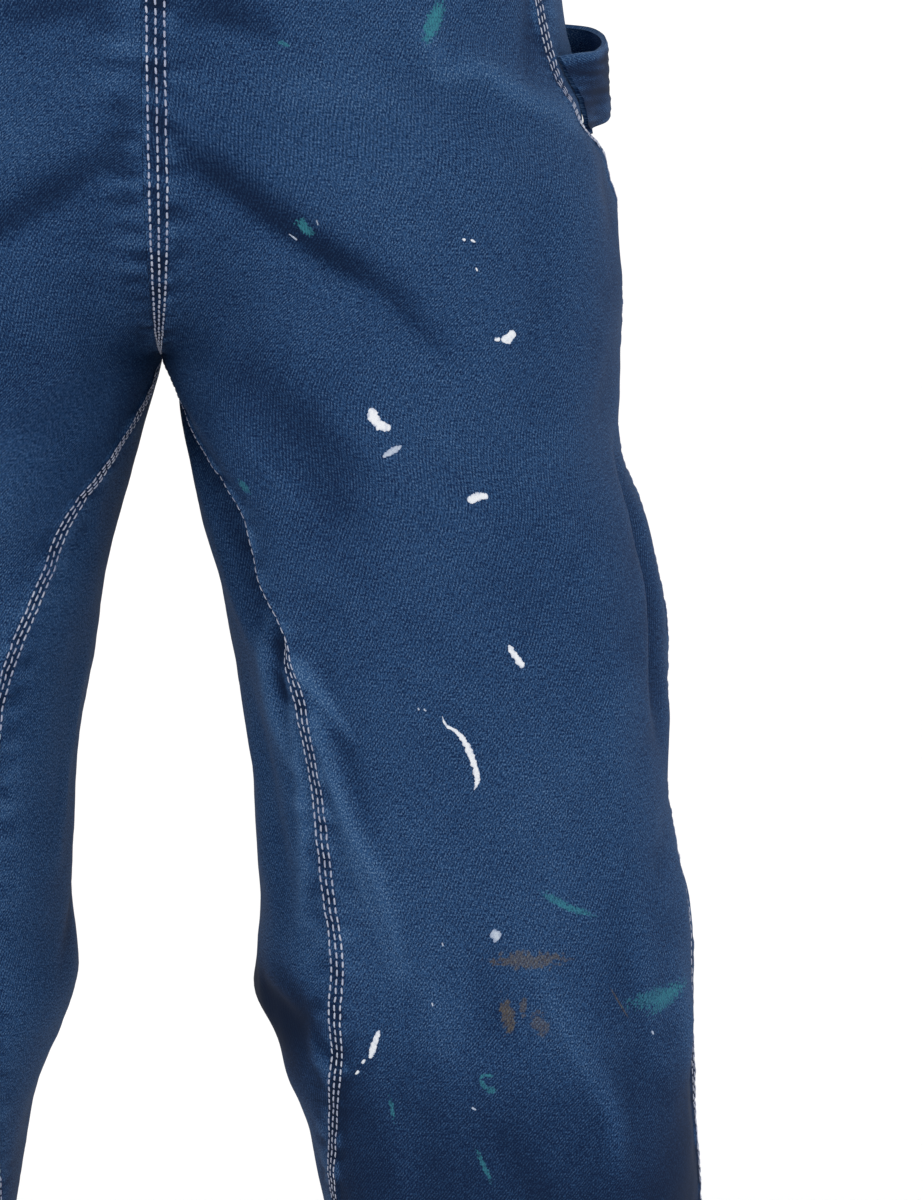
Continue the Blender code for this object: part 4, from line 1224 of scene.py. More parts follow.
            # The weave's low places stay bare where the colour was dragged over it
            gaps = sum_of(tree, -0.75, [(cloth["slub"], 1.5), (cloth["speck"], 1.7)])
            kept = {0: self.stain_share(tree, placed), 1: gaps}
            share = add_node(tree, "ShaderNodeMath", kept, operation="MULTIPLY", use_clamp=True).outputs[0]
            layers.append((share, getattr(self, placed.stain.tone.value)))
        colour = layered(tree, self.deep, layers)
        matt = {"Roughness": 0.86, "Specular IOR Level": 0.10}
        return coat.finish(colour, cloth["height"], (0.55, self.relief), matt)

    def wrong_side(self, name: str) -> bpy.types.Material:
        """The inner side, where the pale weft lies on top.

        Args:
            name: The material's name.

        Returns:
            The material.
        """
        coat = Coat(name)
        cloth = self.weave(coat.tree)
        weights = {"rib": 0.14, "slub": 0.7, "weft": 0.6, "mottle": 0.3}
        tone = sum_of(coat.tree, -0.3, [(cloth[part], weight) for part, weight in weights.items()])
        colour = layered(coat.tree, self.reverse_deep, [(tone, self.reverse_pale)])
        return coat.finish(colour, cloth["height"], (0.5, self.relief), {"Roughness": 0.9})


@dataclass(frozen=True)
class ThreadFinish:
    """Polyester-cotton topstitch thread of two plies, off-white and a little soiled by the indigo."""

    clean: str = "bcc2d4"
    soiled: str = "7d86a8"
    twist: float = 0.9

    def build(self) -> bpy.types.Material:
        """Makes the material."""
        coat = Coat("offwhite_topstitch_thread")
        spot = add_node(coat.tree, "ShaderNodeTexCoord").outputs["Object"]
        grime = {"Scale": 55.0, "Detail": 3.0}
        soil = add_node(coat.tree, "ShaderNodeTexNoise", {"Vector": spot}, grime).outputs[0]
        turns = {"Scale": 1000 / self.twist / 6.3, "Distortion": 2.0}
        ply = add_node(coat.tree, "ShaderNodeTexWave", {"Vector": spot}, turns, bands_direction="DIAGONAL")
        share = sum_of(coat.tree, -0.55, [(soil, 1.7), (ply.outputs["Fac"], 0.22)])
        colour = layered(coat.tree, self.clean, [(share, self.soiled)])
        soft = {"Roughness": 0.62, "Sheen Weight": 0.2}
        return coat.finish(colour, ply.outputs["Fac"], (0.4, 0.1 * MM), soft)


@dataclass(frozen=True)
class PaintFinish:
    """Dried emulsion paint: chalky, low gloss, thin at its edges where the cloth's blue shows through."""

    name: str
    body: str
    thin: str
    cover: float

    def build(self) -> bpy.types.Material:
        """Makes the material."""
        coat = Coat(self.name)
        spot = {"Vector": add_node(coat.tree, "ShaderNodeTexCoord").outputs["Object"]}
        patchy = add_node(coat.tree, "ShaderNodeTexNoise", spot, {"Scale": 620.0, "Detail": 3.0}).outputs[0]
        ridge = add_node(coat.tree, "ShaderNodeTexNoise", spot, {"Scale": 1500.0, "Detail": 2.0}).outputs[0]
        edge = add_node(coat.tree, "ShaderNodeAttribute", attribute_name="wear").outputs["Fac"]
        share = sum_of(coat.tree, -0.75 - self.cover, [(patchy, 1.6), (edge, 1.0), (ridge, 0.6)])
        colour = layered(coat.tree, self.body, [(share, self.thin)])
        return coat.finish(colour, ridge, (0.6, 0.15 * MM), {"Roughness": 0.5})


@dataclass(frozen=True)
class MetalFinish:
    """Pressed or drawn work-wear hardware, plated and then dulled by handling."""

    name: str
    bright: str
    dull: str
    roughness: float

    def build(self) -> bpy.types.Material:
        """Makes the material, with tarnish in patches about 4 mm across and fine rubbing marks."""
        coat = Coat(self.name)
        spot = {"Vector": add_node(coat.tree, "ShaderNodeTexCoord").outputs["Object"]}
        tarnish = add_node(coat.tree, "ShaderNodeTexNoise", spot, {"Scale": 240.0, "Detail": 4.0}).outputs[0]
        rubbed = add_node(coat.tree, "ShaderNodeTexNoise", spot, {"Scale": 2200.0, "Detail": 2.0}).outputs[0]
        share = sum_of(coat.tree, -0.6, [(tarnish, 2.2)])
        colour = layered(coat.tree, self.bright, [(share, self.dull)])
        rough = sum_of(coat.tree, self.roughness - 0.25, [(tarnish, 0.35), (rubbed, 0.15)])
        coat.tree.links.new(rough, coat.shader.inputs["Roughness"])
        return coat.finish(colour, rubbed, (0.12, 0.05 * MM), {"Metallic": 1.0})


@dataclass
class Finishes:
    """Every finish of the garment, made once."""

    denim: DenimFinish = field(default_factory=DenimFinish)

    def __post_init__(self) -> None:
        """Makes the materials that several pieces share."""
        self.blue = self.denim.right_side("washed_indigo_twill")
        self.reverse = self.denim.wrong_side("indigo_twill_reverse")
        self.thread = ThreadFinish().build()
        self.white = PaintFinish("dried_white_emulsion", "e2e5ea", "7f90b0", 0.42).build()
        self.bluish = PaintFinish("dried_pale_blue_emulsion", "b2bdcd", "4f6894", 0.30).build()
        self.brass = MetalFinish("dulled_pressed_brass", "a98a54", "5b4526", 0.45).build()
        self.nickel = MetalFinish("worn_nickel_plate", "b4b2ad", "6d6a63", 0.38).build()


@dataclass
class Stitcher:
    """Rows of topstitches, gathered and made into one mesh."""

    name: str
    thread: bpy.types.Material
    pitch: float = 4.2 * MM
    length: float = 3.35 * MM
    width: float = 1.02 * MM
    height: float = 0.46 * MM
    sides: int = 5

    def __post_init__(self) -> None:
        """Starts with no rows."""
        self.rings: list = []
        self.chance = np.random.RandomState(len(self.name) * 7 + 3)

    def row(self, points: Grid, normals: Grid, start: float = 0.0) -> None:
        """Adds one row along a line on the cloth.

        Args:
            points: The line's points, close together.
            normals: The cloth's normals there.
            start: How far along the first stitch is centred past half a pitch.
        """
        steps = np.linalg.norm(np.diff(points, axis=0), axis=1)
        at = np.concatenate([[0.0], np.cumsum(steps)])
        count = int((at[-1] - start) / self.pitch)
        if count < 1:
            return
        centres = start + (np.arange(count) + 0.5) * self.pitch
        centres += self.chance.uniform(-0.05, 0.05, count) * self.pitch
        lengths = self.length * self.chance.uniform(0.92, 1.06, count)
        shares = np.array([-0.5, -0.30, 0.30, 0.5])
        spots = centres[:, None] + lengths[:, None] * shares[None, :]
        line = np.stack([np.interp(spots, at, points[:, k]) for k in range(3)], axis=-1)
        up = unit(np.stack([np.interp(spots, at, normals[:, k]) for k in range(3)], axis=-1))
        ahead = unit(line[:, -1] - line[:, 0])[:, None, :] * np.ones_like(line)
        aside = unit(np.cross(up, ahead))
        line = line + aside * (self.chance.normal(0, 0.07 * MM, count)[:, None, None])
        skew = self.chance.normal(0, 0.05, count)[:, None, None]
        line = line + aside * skew * (lengths[:, None] * shares[None, :])[..., None]
        broad = np.array([0.42, 1.0, 1.0, 0.42])[None, :, None, None]
        middle = np.array([-0.30, 0.22, 0.22, -0.30])[None, :, None, None] * self.height
        angle = 2 * math.pi * (np.arange(self.sides) / self.sides) + math.pi / 2
        ring = (
            line[:, :, None, :]
            + aside[:, :, None, :] * (np.cos(angle)[None, None, :, None] * self.width / 2 * broad)
            + up[:, :, None, :] * (np.sin(angle)[None, None, :, None] * self.height / 2 * broad + middle)
        )
        self.rings.append(ring.reshape(-1, 3))

    def build(self) -> bpy.types.Object:
        """Joins the rows into one piece that rides on the garment."""
        verts = np.concatenate(self.rings)
        per, count = 4 * self.sides, len(verts) // (4 * self.sides)
        base = np.arange(self.sides)
        following = np.roll(base, -1)
        band = np.stack([base, following, following + self.sides, base + self.sides], axis=-1)
        quads = np.concatenate([band + k * self.sides for k in range(3)])
        caps = [list(base[::-1]), list(base + 3 * self.sides)]
        faces = []
        for k in range(count):
            faces += (quads + k * per).tolist()
            faces += [[v + k * per for v in cap] for cap in caps]
        mesh = bpy.data.meshes.new(self.name)
        mesh.from_pydata(verts.tolist(), [], faces)
        mesh.shade_smooth()
        mesh.materials.append(self.thread)
        turn_out(mesh)
        return worn(add_object(self.name, mesh))


def turn_out(mesh: bpy.types.Mesh) -> None:
    """Points every face of closed bodies outwards.

    Args:
        mesh: The bodies' mesh.
    """
    shape = bmesh.new()
    shape.from_mesh(mesh)
    bmesh.ops.recalc_face_normals(shape, faces=shape.faces)
    shape.to_mesh(mesh)
    shape.free()


@dataclass(frozen=True)
class SheetCut:
    """The flat cut of a sheet: its width and length, and its area where it isn't a rectangle."""

    width: float
    length: float
    area: float | None = None

    def declare(self, piece: bpy.types.Object, held: str, rests_on: list, extras: Sequence = ()) -> None:
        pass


@dataclass(frozen=True)
class PictureCamera:
    """The camera of the picture, level with the knee and looking slightly down at the wearer's left leg."""

    aim: tuple = (0.1364, 0.0, -0.955)
    elevation: float = 7.0
    distance: float = 2.2
    lens: float = 143.5
    sensor: float = 36.0
    wide: int = 923
    tall: int = 1200
    # A pixel's real size at the front of the leg
    pixel: float = 0.44 * MM

    @property
    def look(self) -> Vector:
        """The way the camera looks."""
        tilt = math.radians(self.elevation)
        return Vector((0.0, math.cos(tilt), -math.sin(tilt)))

    @property
    def eye(self) -> Vector:
        """Where the camera stands."""
        return Vector(self.aim) - self.look * self.distance

    def build(self) -> None:
        """Makes the camera and gives it to the scene."""
        data = bpy.data.cameras.new("picture_camera")
        data.lens, data.sensor_width, data.sensor_fit = self.lens, self.sensor, "AUTO"
        data.clip_start, data.clip_end = 0.05, 100.0
        made = add_object("picture_camera", data)
        made.location = self.eye
        made.rotation_mode = "QUATERNION"
        made.rotation_quaternion = self.look.to_track_quat("-Z", "Y")
        bpy.context.scene.camera = made

    def onto(self, tree: BVHTree, spot: tuple) -> tuple:
        """Where a pixel of the picture lies on a surface.

        Args:
            tree: The surface.
            spot: Pixels across and down.

        Returns:
            The point and the surface's normal, or None twice where the ray misses.
        """
        focal = self.lens / self.sensor * self.tall
        tilt = math.radians(self.elevation)
        up = Vector((0.0, math.sin(tilt), math.cos(tilt)))
        ray = self.look + Vector((1, 0, 0)) * ((spot[0] - self.wide / 2) / focal)
        ray += up * ((self.tall / 2 - spot[1]) / focal)
        point, normal, _, _ = tree.ray_cast(self.eye, ray.normalized())
        if point is not None and normal.dot(ray) > 0:
            normal = -normal
        return point, normal


@dataclass
class Leg:
    """One leg: its front and back panels, its hem band and its seams' stitches."""

    side: Side
    finishes: Finishes
    cell: float = 3.6 * MM
    seam_cell: float = 1.3 * MM
    seam_strip: float = 13 * MM
    usual_width: float = 0.235
    fork_gap: float = 0.0032
    cloth: float = 1.1 * MM
    hem_cloth: float = 2.0 * MM
    hem_edge: float = 0.030
    hem_lift: float = 0.55 * MM
    hem_cell: float = 3.0 * MM
    hem_width: float = 0.25
    hem_rows: tuple = (0.0525, 0.0465)
    row_points: int = 330
    centre_points: int = 140
    hem_points: int = 90
    stagger: float = 1.1 * MM
    front_cut: SheetCut = SheetCut(0.330, 1.080, 0.262)
    back_cut: SheetCut = SheetCut(0.370, 1.090, 0.291)
    hem_cut: SheetCut = SheetCut(0.520, 0.030)

    def __post_init__(self) -> None:
        """Sets up the two panels' surfaces."""
        self.panels = {face: LegPanel(self.side, face) for face in Face}

    def shares_across(self) -> Grid:
        """Columns across a panel from the outseam, closer together beside its seams."""
        width = self.usual_width
        strip = np.arange(0.0, self.seam_strip, self.seam_cell) / width
        start = self.seam_strip / width
        middle = np.linspace(start, 1 - start, int((1 - 2 * start) * width / self.cell) + 1)
        return np.concatenate([strip, middle, 1 - strip[::-1]])

    def build(self, stains: Sequence[Stain] = (), camera: PictureCamera | None = None) -> None:
        """Makes the leg.

        Args:
            stains: Flat marks on the front, by the picture's pixels.
            camera: The camera that the pixels belong to.
        """
        word, shells = self.side.word, {}
        for face, panel in self.panels.items():
            down = np.linspace(0.0, 1.0, int((FORM.waist_seam - FORM.hem_top) / self.cell) + 1)
            down = down[np.abs(down - FORM.share_down(FORM.fork_row)) > self.fork_gap][:, None]
            points, wear = panel.dressed(down, self.shares_across()[None, :])
            wear = wear + self.wash(points, face)
            flip = self.side.value * face.value == 1
            shells[face] = ClothShell(f"{face.word}_leg_{word}", panel.placed(points), self.cloth, wear, flip)
        self.tree = self.surface_tree(shells[Face.FRONT].points)
        placed = [spot for spot in (self.place(stain, camera) for stain in stains) if spot]
        blue, reverse = self.finishes.blue, self.finishes.reverse
        right_side = blue
        if placed:
            right_side = self.finishes.denim.right_side(f"washed_indigo_twill_stained_{word}", placed)
        front = shells[Face.FRONT].build(right_side, reverse)
        back = shells[Face.BACK].build(blue, reverse)
        hem = self.hem_shell().build(right_side, reverse)
        stitches = self.build_stitches()
        self.front_cut.declare(front, "hung", ["waistband_front", back.name], [stitches])
        self.back_cut.declare(back, "hung", ["waistband_back", front.name])
        self.hem_cut.declare(hem, "stretched", [front.name, back.name])

    def wash(self, points: Grid, face: Face) -> Grid:
        """The broad tone: paler at the knee and thigh, painted shade towards the inner and the outer side,
        and darker towards the bottom.

        Args:
            points: Points of the left leg, heights above the floor.
            face: The panel.

        Returns:
            Shares for the wear and the painted shade.
        """
        x, height = points[..., 0], points[..., 2]
        if face is Face.BACK:
            # On the back: paler at the seat and at knee height, darker towards the bottom
            seat = bell((height - 0.86) / 0.09) * 0.10
            return seat + 0.06 * bell((height - 0.50) / 0.06) - 0.12 * eased((0.36 - height) / 0.12)
        knee = 0.13 * bell((height - 0.455) / 0.055) * bell((x - 0.155) / 0.055)
        thigh = 0.06 * bell((height - 0.80) / 0.09) * bell((x - 0.12) / 0.07)
        # Darker towards the bottom
        low = -0.29 * eased((0.425 - height) / 0.15)
        # Painted shade towards the inner and the outer side, where the leg turns from the light
        inside = -0.07 * eased((0.075 - x) / 0.05)
        outer_side_shade = -0.09 * eased((x - 0.170) / 0.045)
        return knee + thigh + low + inside + outer_side_shade

    @staticmethod
    def surface_tree(points: Grid) -> BVHTree:
        """A tree of a grid's faces, for rays.

        Args:
            points: The grid.

        Returns:
            The tree.
        """
        rows, columns = points.shape[:2]
        index = np.arange(rows * columns).reshape(rows, columns)
        quads = np.stack([index[:-1, :-1], index[1:, :-1], index[1:, 1:], index[:-1, 1:]], axis=-1)
        return BVHTree.FromPolygons(points.reshape(-1, 3).tolist(), quads.reshape(-1, 4).tolist())

    def place(self, stain: Stain, camera: PictureCamera) -> PlacedStain | None:
        """Finds where a stain lies on the front panel.

        Args:
            stain: The stain, by the picture's pixels.
            camera: The camera.

        Returns:
            The placed stain, or None where it misses the leg.
        """
        first, _ = camera.onto(self.tree, stain.start)
        last, _ = camera.onto(self.tree, stain.end)
        if first is None or last is None:
            return None
        run = last - first
        half_length = max(math.hypot(run.x, run.z) / 2, camera.pixel)
        half_breadth = stain.breadth * camera.pixel / 2
        return PlacedStain(stain, (first + last) / 2, math.atan2(run.z, run.x), half_length, half_breadth)

    def hem_shell(self) -> ClothShell:
        """The turned-up band at the foot of the leg."""
        down = np.linspace(1.0 - 1.4 * MM, FORM.share_down(self.hem_edge), 10)[:, None]
        shares = np.linspace(0.0, 1.0, int(self.hem_width / self.hem_cell))[None, :]
        front, front_wear = self.hem_skin(Face.FRONT, down, shares)
        back, back_wear = self.hem_skin(Face.BACK, down, 1 - shares[:, 1:])
        points = np.concatenate([front, back], axis=1)
        points[:, -1] = points[:, 0]
        gather = 0.25 * MM * ripple(points, 0.011, 77)
        wear = np.concatenate([front_wear, back_wear], axis=1) + gather * 300 - 0.05
        wear[-1] += 0.35
        wear[0] += 0.15
        placed = self.panels[Face.FRONT].placed(points)
        return ClothShell(f"hem_{self.side.word}", placed, self.hem_cloth, wear, self.side is Side.LEFT)

    def hem_skin(self, face: Face, down: Grid, across: Grid) -> tuple:
        """The hem band's outer side on one panel.

        Args:
            face: The panel.
            down: Shares down.
            across: Shares across.

        Returns:
            Points of the left leg and their wear.
        """
        panel = self.panels[face]
        down, across = np.broadcast_arrays(down, across)
        points, wear = panel.dressed(down, across)
        normals = panel.outward(panel.plain, down, across)
        crown = eased((down - down.min()) / 0.004) * eased((down.max() + 0.001 - down) / 0.004)
        return points + normals * (self.hem_lift * (0.3 + 0.7 * crown))[..., None], wear

    def build_stitches(self) -> bpy.types.Object:
        """Sews the outseam, the inseam and centre seam, and the hem."""
        sewing = Stitcher(f"stitching_leg_{self.side.word}", self.finishes.thread)
        front, back = self.panels[Face.FRONT], self.panels[Face.BACK]
        crotch = FORM.share_down(FORM.fork_row)
        inner_start = 0.004 if self.side is Side.LEFT else crotch + 0.004
        for k, row in enumerate(front.seam.rows):
            late = self.stagger * k
            down = np.linspace(0.004, 0.998, self.row_points)
            height = front.plain(down, np.zeros(len(down)))[..., 2]
            sewing.row(*front.path(down, (row + front.swing(height)) / front.width(down)), late)
            down = np.linspace(inner_start, 0.998, self.row_points)
            sewing.row(*front.path(down, 1 - row / front.width(down)), late)
            if self.side is Side.LEFT:
                down = np.linspace(0.004, crotch - 0.004, self.centre_points)
                sewing.row(*back.path(down, 1 - row / back.width(down)), late)
        for height in self.hem_rows:
            down = np.full(self.hem_points, FORM.share_down(height))
            for panel in (front, back):
                shares = np.linspace(0.01, 0.99, self.hem_points)
                sewing.row(*panel.path(down, shares, self.hem_lift + 0.1 * MM))
        return sewing.build()


@dataclass
class BodyBand:
    """A strip or bib of cloth on the garment's body, by turns and heights."""

    node: str
    face: Face
    heights: tuple
    cloth: float
    cell: float = 3.4 * MM

    def grid(self, turns: Callable[[Grid], Grid], columns: int) -> tuple:
        """The strip's turns and heights.

        Args:
            turns: Gives the two end turns in degrees at each height.
            columns: How many columns.

        Returns:
            Turns in radians and heights, as grids.
        """
        top, bottom = self.heights
        height = np.linspace(top, bottom, max(6, int((top - bottom) / self.cell)))[:, None]
        first, last = turns(height)
        turn = np.radians(first + (last - first) * np.linspace(0.0, 1.0, columns)[None, :])
        return np.broadcast_arrays(turn, height)

    def shell(self, turn: Grid, height: Grid, lift: Grid, wear: Grid) -> ClothShell:
        """The strip as cloth.

        Args:
            turn: Turns in radians.
            height: Heights above the floor.
            lift: How far it stands off the body's form.
            wear: The cloth's wear.

        Returns:
            The shell, in the row frame.
        """
        points, _ = self.path(turn, height, lift)
        rightward = (points[0, -1, 0] - points[0, 0, 0]) * self.face.value
        return ClothShell(self.node, points, self.cloth, wear, rightward < 0)

    @staticmethod
    def path(turn: Grid, height: Grid, lift: Grid) -> tuple:
        """Points and normals on the strip, in the row frame."""
        points, normals = FORM.torso_skin(turn, height, lift)
        return points - np.array([0.0, 0.0, SHOULDER_TOP]), normals


@dataclass
class Waistband:
    """The doubled band at the waist: the back half, and the front half whose ends lap over it as tabs."""

    finishes: Finishes
    top: float = 1.0863
    bottom: float = 1.0440
    cloth: float = 2.2 * MM
    proud: float = 0.9 * MM
    lap: float = 2.7 * MM
    # In degrees: where each half starts and ends
    front_turns: tuple = (-13.0, 193.0)
    back_turns: tuple = (-0.6, -179.4)
    columns: int = 190
    row_points: int = 420
    edge_row: float = 2.6 * MM
    second_row: float = 5.8 * MM
    front_cut: SheetCut = SheetCut(0.530, 0.042)
    back_cut: SheetCut = SheetCut(0.450, 0.042)

    def lift_at(self, turn: Grid, height: Grid, face: Face) -> Grid:
        """How far a half stands off: the front one more where it laps over, and both a little uneven.

        Args:
            turn: Turns in radians.
            height: Heights above the floor.
            face: The half.

        Returns:
            The lift, and the small unevenness in it.
        """
        points, seed = FORM.torso(turn, height), 500 + face.value
        relief = 0.5 * MM * ripple(points, 0.05, seed) + 0.18 * MM * ripple(points, 0.011, seed + 1)
        degrees = np.degrees(turn)
        past_side = np.minimum(degrees, 180 - degrees)
        lap = self.lap * (1 - eased((past_side - 1.5) / 16.0)) if face is Face.FRONT else 0.0
        return self.proud + lap + relief, relief

    def build(self) -> None:
        """Makes the two halves and their stitches."""
        sewing = Stitcher("stitching_waistband", self.finishes.thread)
        halves = (
            (Face.FRONT, self.front_turns, self.front_cut),
            (Face.BACK, self.back_turns, self.back_cut),
        )
        for face, (first, last), cut in halves:
            band = BodyBand(f"waistband_{face.word}", face, (self.top, self.bottom), self.cloth)
            turn, height = band.grid(lambda h: (np.full_like(h, first), np.full_like(h, last)), self.columns)
            lift, relief = self.lift_at(turn, height, face)
            # Paler on the relief's crowns as wear, darker in its hollows as painted shade
            wear = relief * 260
            wear[0] += 0.25
            wear[-1] += 0.20
            piece = band.shell(turn, height, lift, wear).build(self.finishes.blue, self.finishes.reverse)
            cut.declare(piece, "stretched", ["cloth_front_leg_left", "cloth_back_leg_left"])
            levels = (self.top - self.edge_row, self.bottom + self.edge_row, self.bottom + self.second_row)
            for level in levels:
                line = np.radians(np.linspace(first, last, self.row_points))
                heights = np.full(self.row_points, level)
                sewing.row(*band.path(line, heights, self.lift_at(line, heights, face)[0]))
        sewing.build()


@dataclass(frozen=True)
class Bib:
    """One bib: a layer of cloth with turned and sewn edges. Its table gives heights and half widths."""

    face: Face
    table: tuple
    cut: SheetCut
    seed: int
    columns: int
    bottom: float = 1.080
    cloth: float = 1.2 * MM
    cell: float = 2.8 * MM
    side_hem: float = 12 * MM
    top_hem: float = 26 * MM
    hem_lift: float = 0.8 * MM
    usual_radius: float = 0.15
    side_rows: tuple = (2.4 * MM, 9.6 * MM)
    top_rows: tuple = (2.6 * MM, 22.5 * MM)
    row_points: int = 160

    def ends(self, height: Grid) -> tuple:
        """The turns of the bib's two edges in degrees.

        Args:
            height: Heights to read them at.

        Returns:
            The first and the last edge's turns.
        """
        (half,) = along(self.table, height)
        reach = np.degrees(np.arcsin(half / along(FORM.torso_table, height)[0]))
        return self.face.value * (90 + reach), self.face.value * (90 - reach)

    def surface(self, turn: Grid, height: Grid) -> tuple:
        """The bib's slack and its turned edges.

        Args:
            turn: Turns in radians.
            height: Heights above the floor.

        Returns:
            How far it stands off the body's form, and how far each point is from a side edge.
        """
        first, last = self.ends(height)
        points, from_top = FORM.torso(turn, height), self.table[0][0] - height
        near = np.minimum(np.abs(np.degrees(turn) - first), np.abs(np.degrees(turn) - last))
        from_edge = np.radians(near) * self.usual_radius
        slack = 1.5 * MM * ripple(points, 0.095, self.seed) + 0.25 * MM * ripple(points, 0.03, self.seed + 1)
        slack = slack * eased((points[..., 2] - 1.088) / 0.05)
        side = eased((self.side_hem - from_edge) / (1.2 * MM))
        turned = np.maximum(side, eased((self.top_hem - from_top) / (1.2 * MM)))
        beside = np.maximum(bell((from_edge - 6 * MM) / (8 * MM)), turned)
        gather = 0.22 * MM * ripple(points, 0.011, self.seed + 2) * beside
        return slack + self.hem_lift * turned + gather, from_edge

    def build(self, finishes: Finishes, sewing: Stitcher) -> None:
        """Makes the bib and adds its rows of stitches.

        Args:
            finishes: The finishes.
            sewing: The bibs' stitches.
        """
        top = self.table[0][0]
        band = BodyBand(f"bib_{self.face.word}", self.face, (top, self.bottom), self.cloth, self.cell)
        turn, height = band.grid(self.ends, self.columns)
        lift, from_edge = self.surface(turn, height)
        # Paler on the slack's crowns and the turned hems as wear, darker in its hollows as painted shade
        wear = lift * 30 - 0.03 + 0.03 * ripple(FORM.torso(turn, height), 0.11, self.seed + 5)
        wear += 0.3 * bell(from_edge / (1.5 * MM)) + 0.3 * bell((top - height) / (1.5 * MM))
        piece = band.shell(turn, height, lift, wear).build(finishes.blue, finishes.reverse)
        self.cut.declare(piece, "hung", [f"cloth_waistband_{self.face.word}", "cloth_strap_left"])
        heights = np.linspace(top, self.bottom, self.row_points)
        first, last = self.ends(heights)
        wide = np.radians(np.abs(last - first)) * self.usual_radius
        for inset in self.side_rows:
            for edge, other in ((first, last), (last, first)):
                line = np.radians(edge + (other - edge) * np.clip(inset / wide, 0, 0.5))
                sewing.row(*band.path(line, heights, self.surface(line, heights)[0]))
        for drop in self.top_rows:
            level = np.full(self.row_points, top - drop)
            first, last = self.ends(level)
            line = np.radians(first + (last - first) * np.linspace(0.02, 0.98, self.row_points))
            sewing.row(*band.path(line, level, self.surface(line, level)[0]))


@dataclass
class Bibs:
    """The front bib and the back bib."""

    finishes: Finishes
    front: Bib = Bib(
        Face.FRONT,
        ((1.360, 0.122), (1.280, 0.121), (1.210, 0.125), (1.155, 0.134), (1.120, 0.144), (1.080, 0.160)),
        SheetCut(0.340, 0.300, 0.083),
        seed=620,
        columns=100,
    )
    back: Bib = Bib(
        Face.BACK,
        ((1.300, 0.050), (1.240, 0.064), (1.180, 0.088), (1.130, 0.118), (1.080, 0.156)),
        SheetCut(0.320, 0.230, 0.047),
        seed=640,
        columns=84,
    )

    def build(self) -> None:
        """Makes the bibs and their stitches."""
        sewing = Stitcher("stitching_bibs", self.finishes.thread)
        for bib in (self.front, self.back):
            bib.build(self.finishes, sewing)
        sewing.build()


@dataclass
class SideClosing:
    """The strip over the side opening below the waistband."""

    side: Side
    finishes: Finishes
    top: float = 1.048
    bottom: float = 0.905
    front_share: float = 0.030
    back_share: float = 0.105
    lift: float = 0.9 * MM
    back_lift: float = 1.2 * MM
    cloth: float = 1.6 * MM
    rows: int = 56
    cut: SheetCut = SheetCut(0.036, 0.145)

    def build(self, leg: Leg) -> None:
        """Makes the strip and its stitches.

        Args:
            leg: The leg that carries it.
        """
        word = self.side.word
        down = FORM.share_down(np.linspace(self.top, self.bottom, self.rows))[:, None]
        shares = np.linspace(self.front_share, 0.0, 5)[None, :-1]
        front = self.lifted(leg.panels[Face.FRONT], down, shares, self.lift)
        shares = np.linspace(0.0, self.back_share, 14)[None, :]
        back = self.lifted(leg.panels[Face.BACK], down, shares, self.back_lift)
        points = np.concatenate([front, back], axis=1)
        wear = 0.10 * ripple(points, 0.02, 31)
        wear[:, [0, -1]] += 0.3
        placed = leg.panels[Face.FRONT].placed(points)
        shell = ClothShell(f"side_placket_{word}", placed, self.cloth, wear, self.side is Side.RIGHT)
        piece = shell.build(self.finishes.blue, self.finishes.reverse)
        self.cut.declare(piece, "stretched", [f"cloth_front_leg_{word}", f"cloth_back_leg_{word}"])
        sewing = Stitcher(f"stitching_placket_{word}", self.finishes.thread)
        normals = (-1 if shell.flip else 1) * grid_normals(placed)
        for column in (1, -3):
            sewing.row(placed[:, column], normals[:, column])
        sewing.build()

    @staticmethod
    def lifted(panel: LegPanel, down: Grid, across: Grid, lift: float) -> Grid:
        """Points above one panel."""
        down, across = np.broadcast_arrays(down, across)
        return panel.skin(down, across) + panel.outward(panel.plain, down, across) * lift


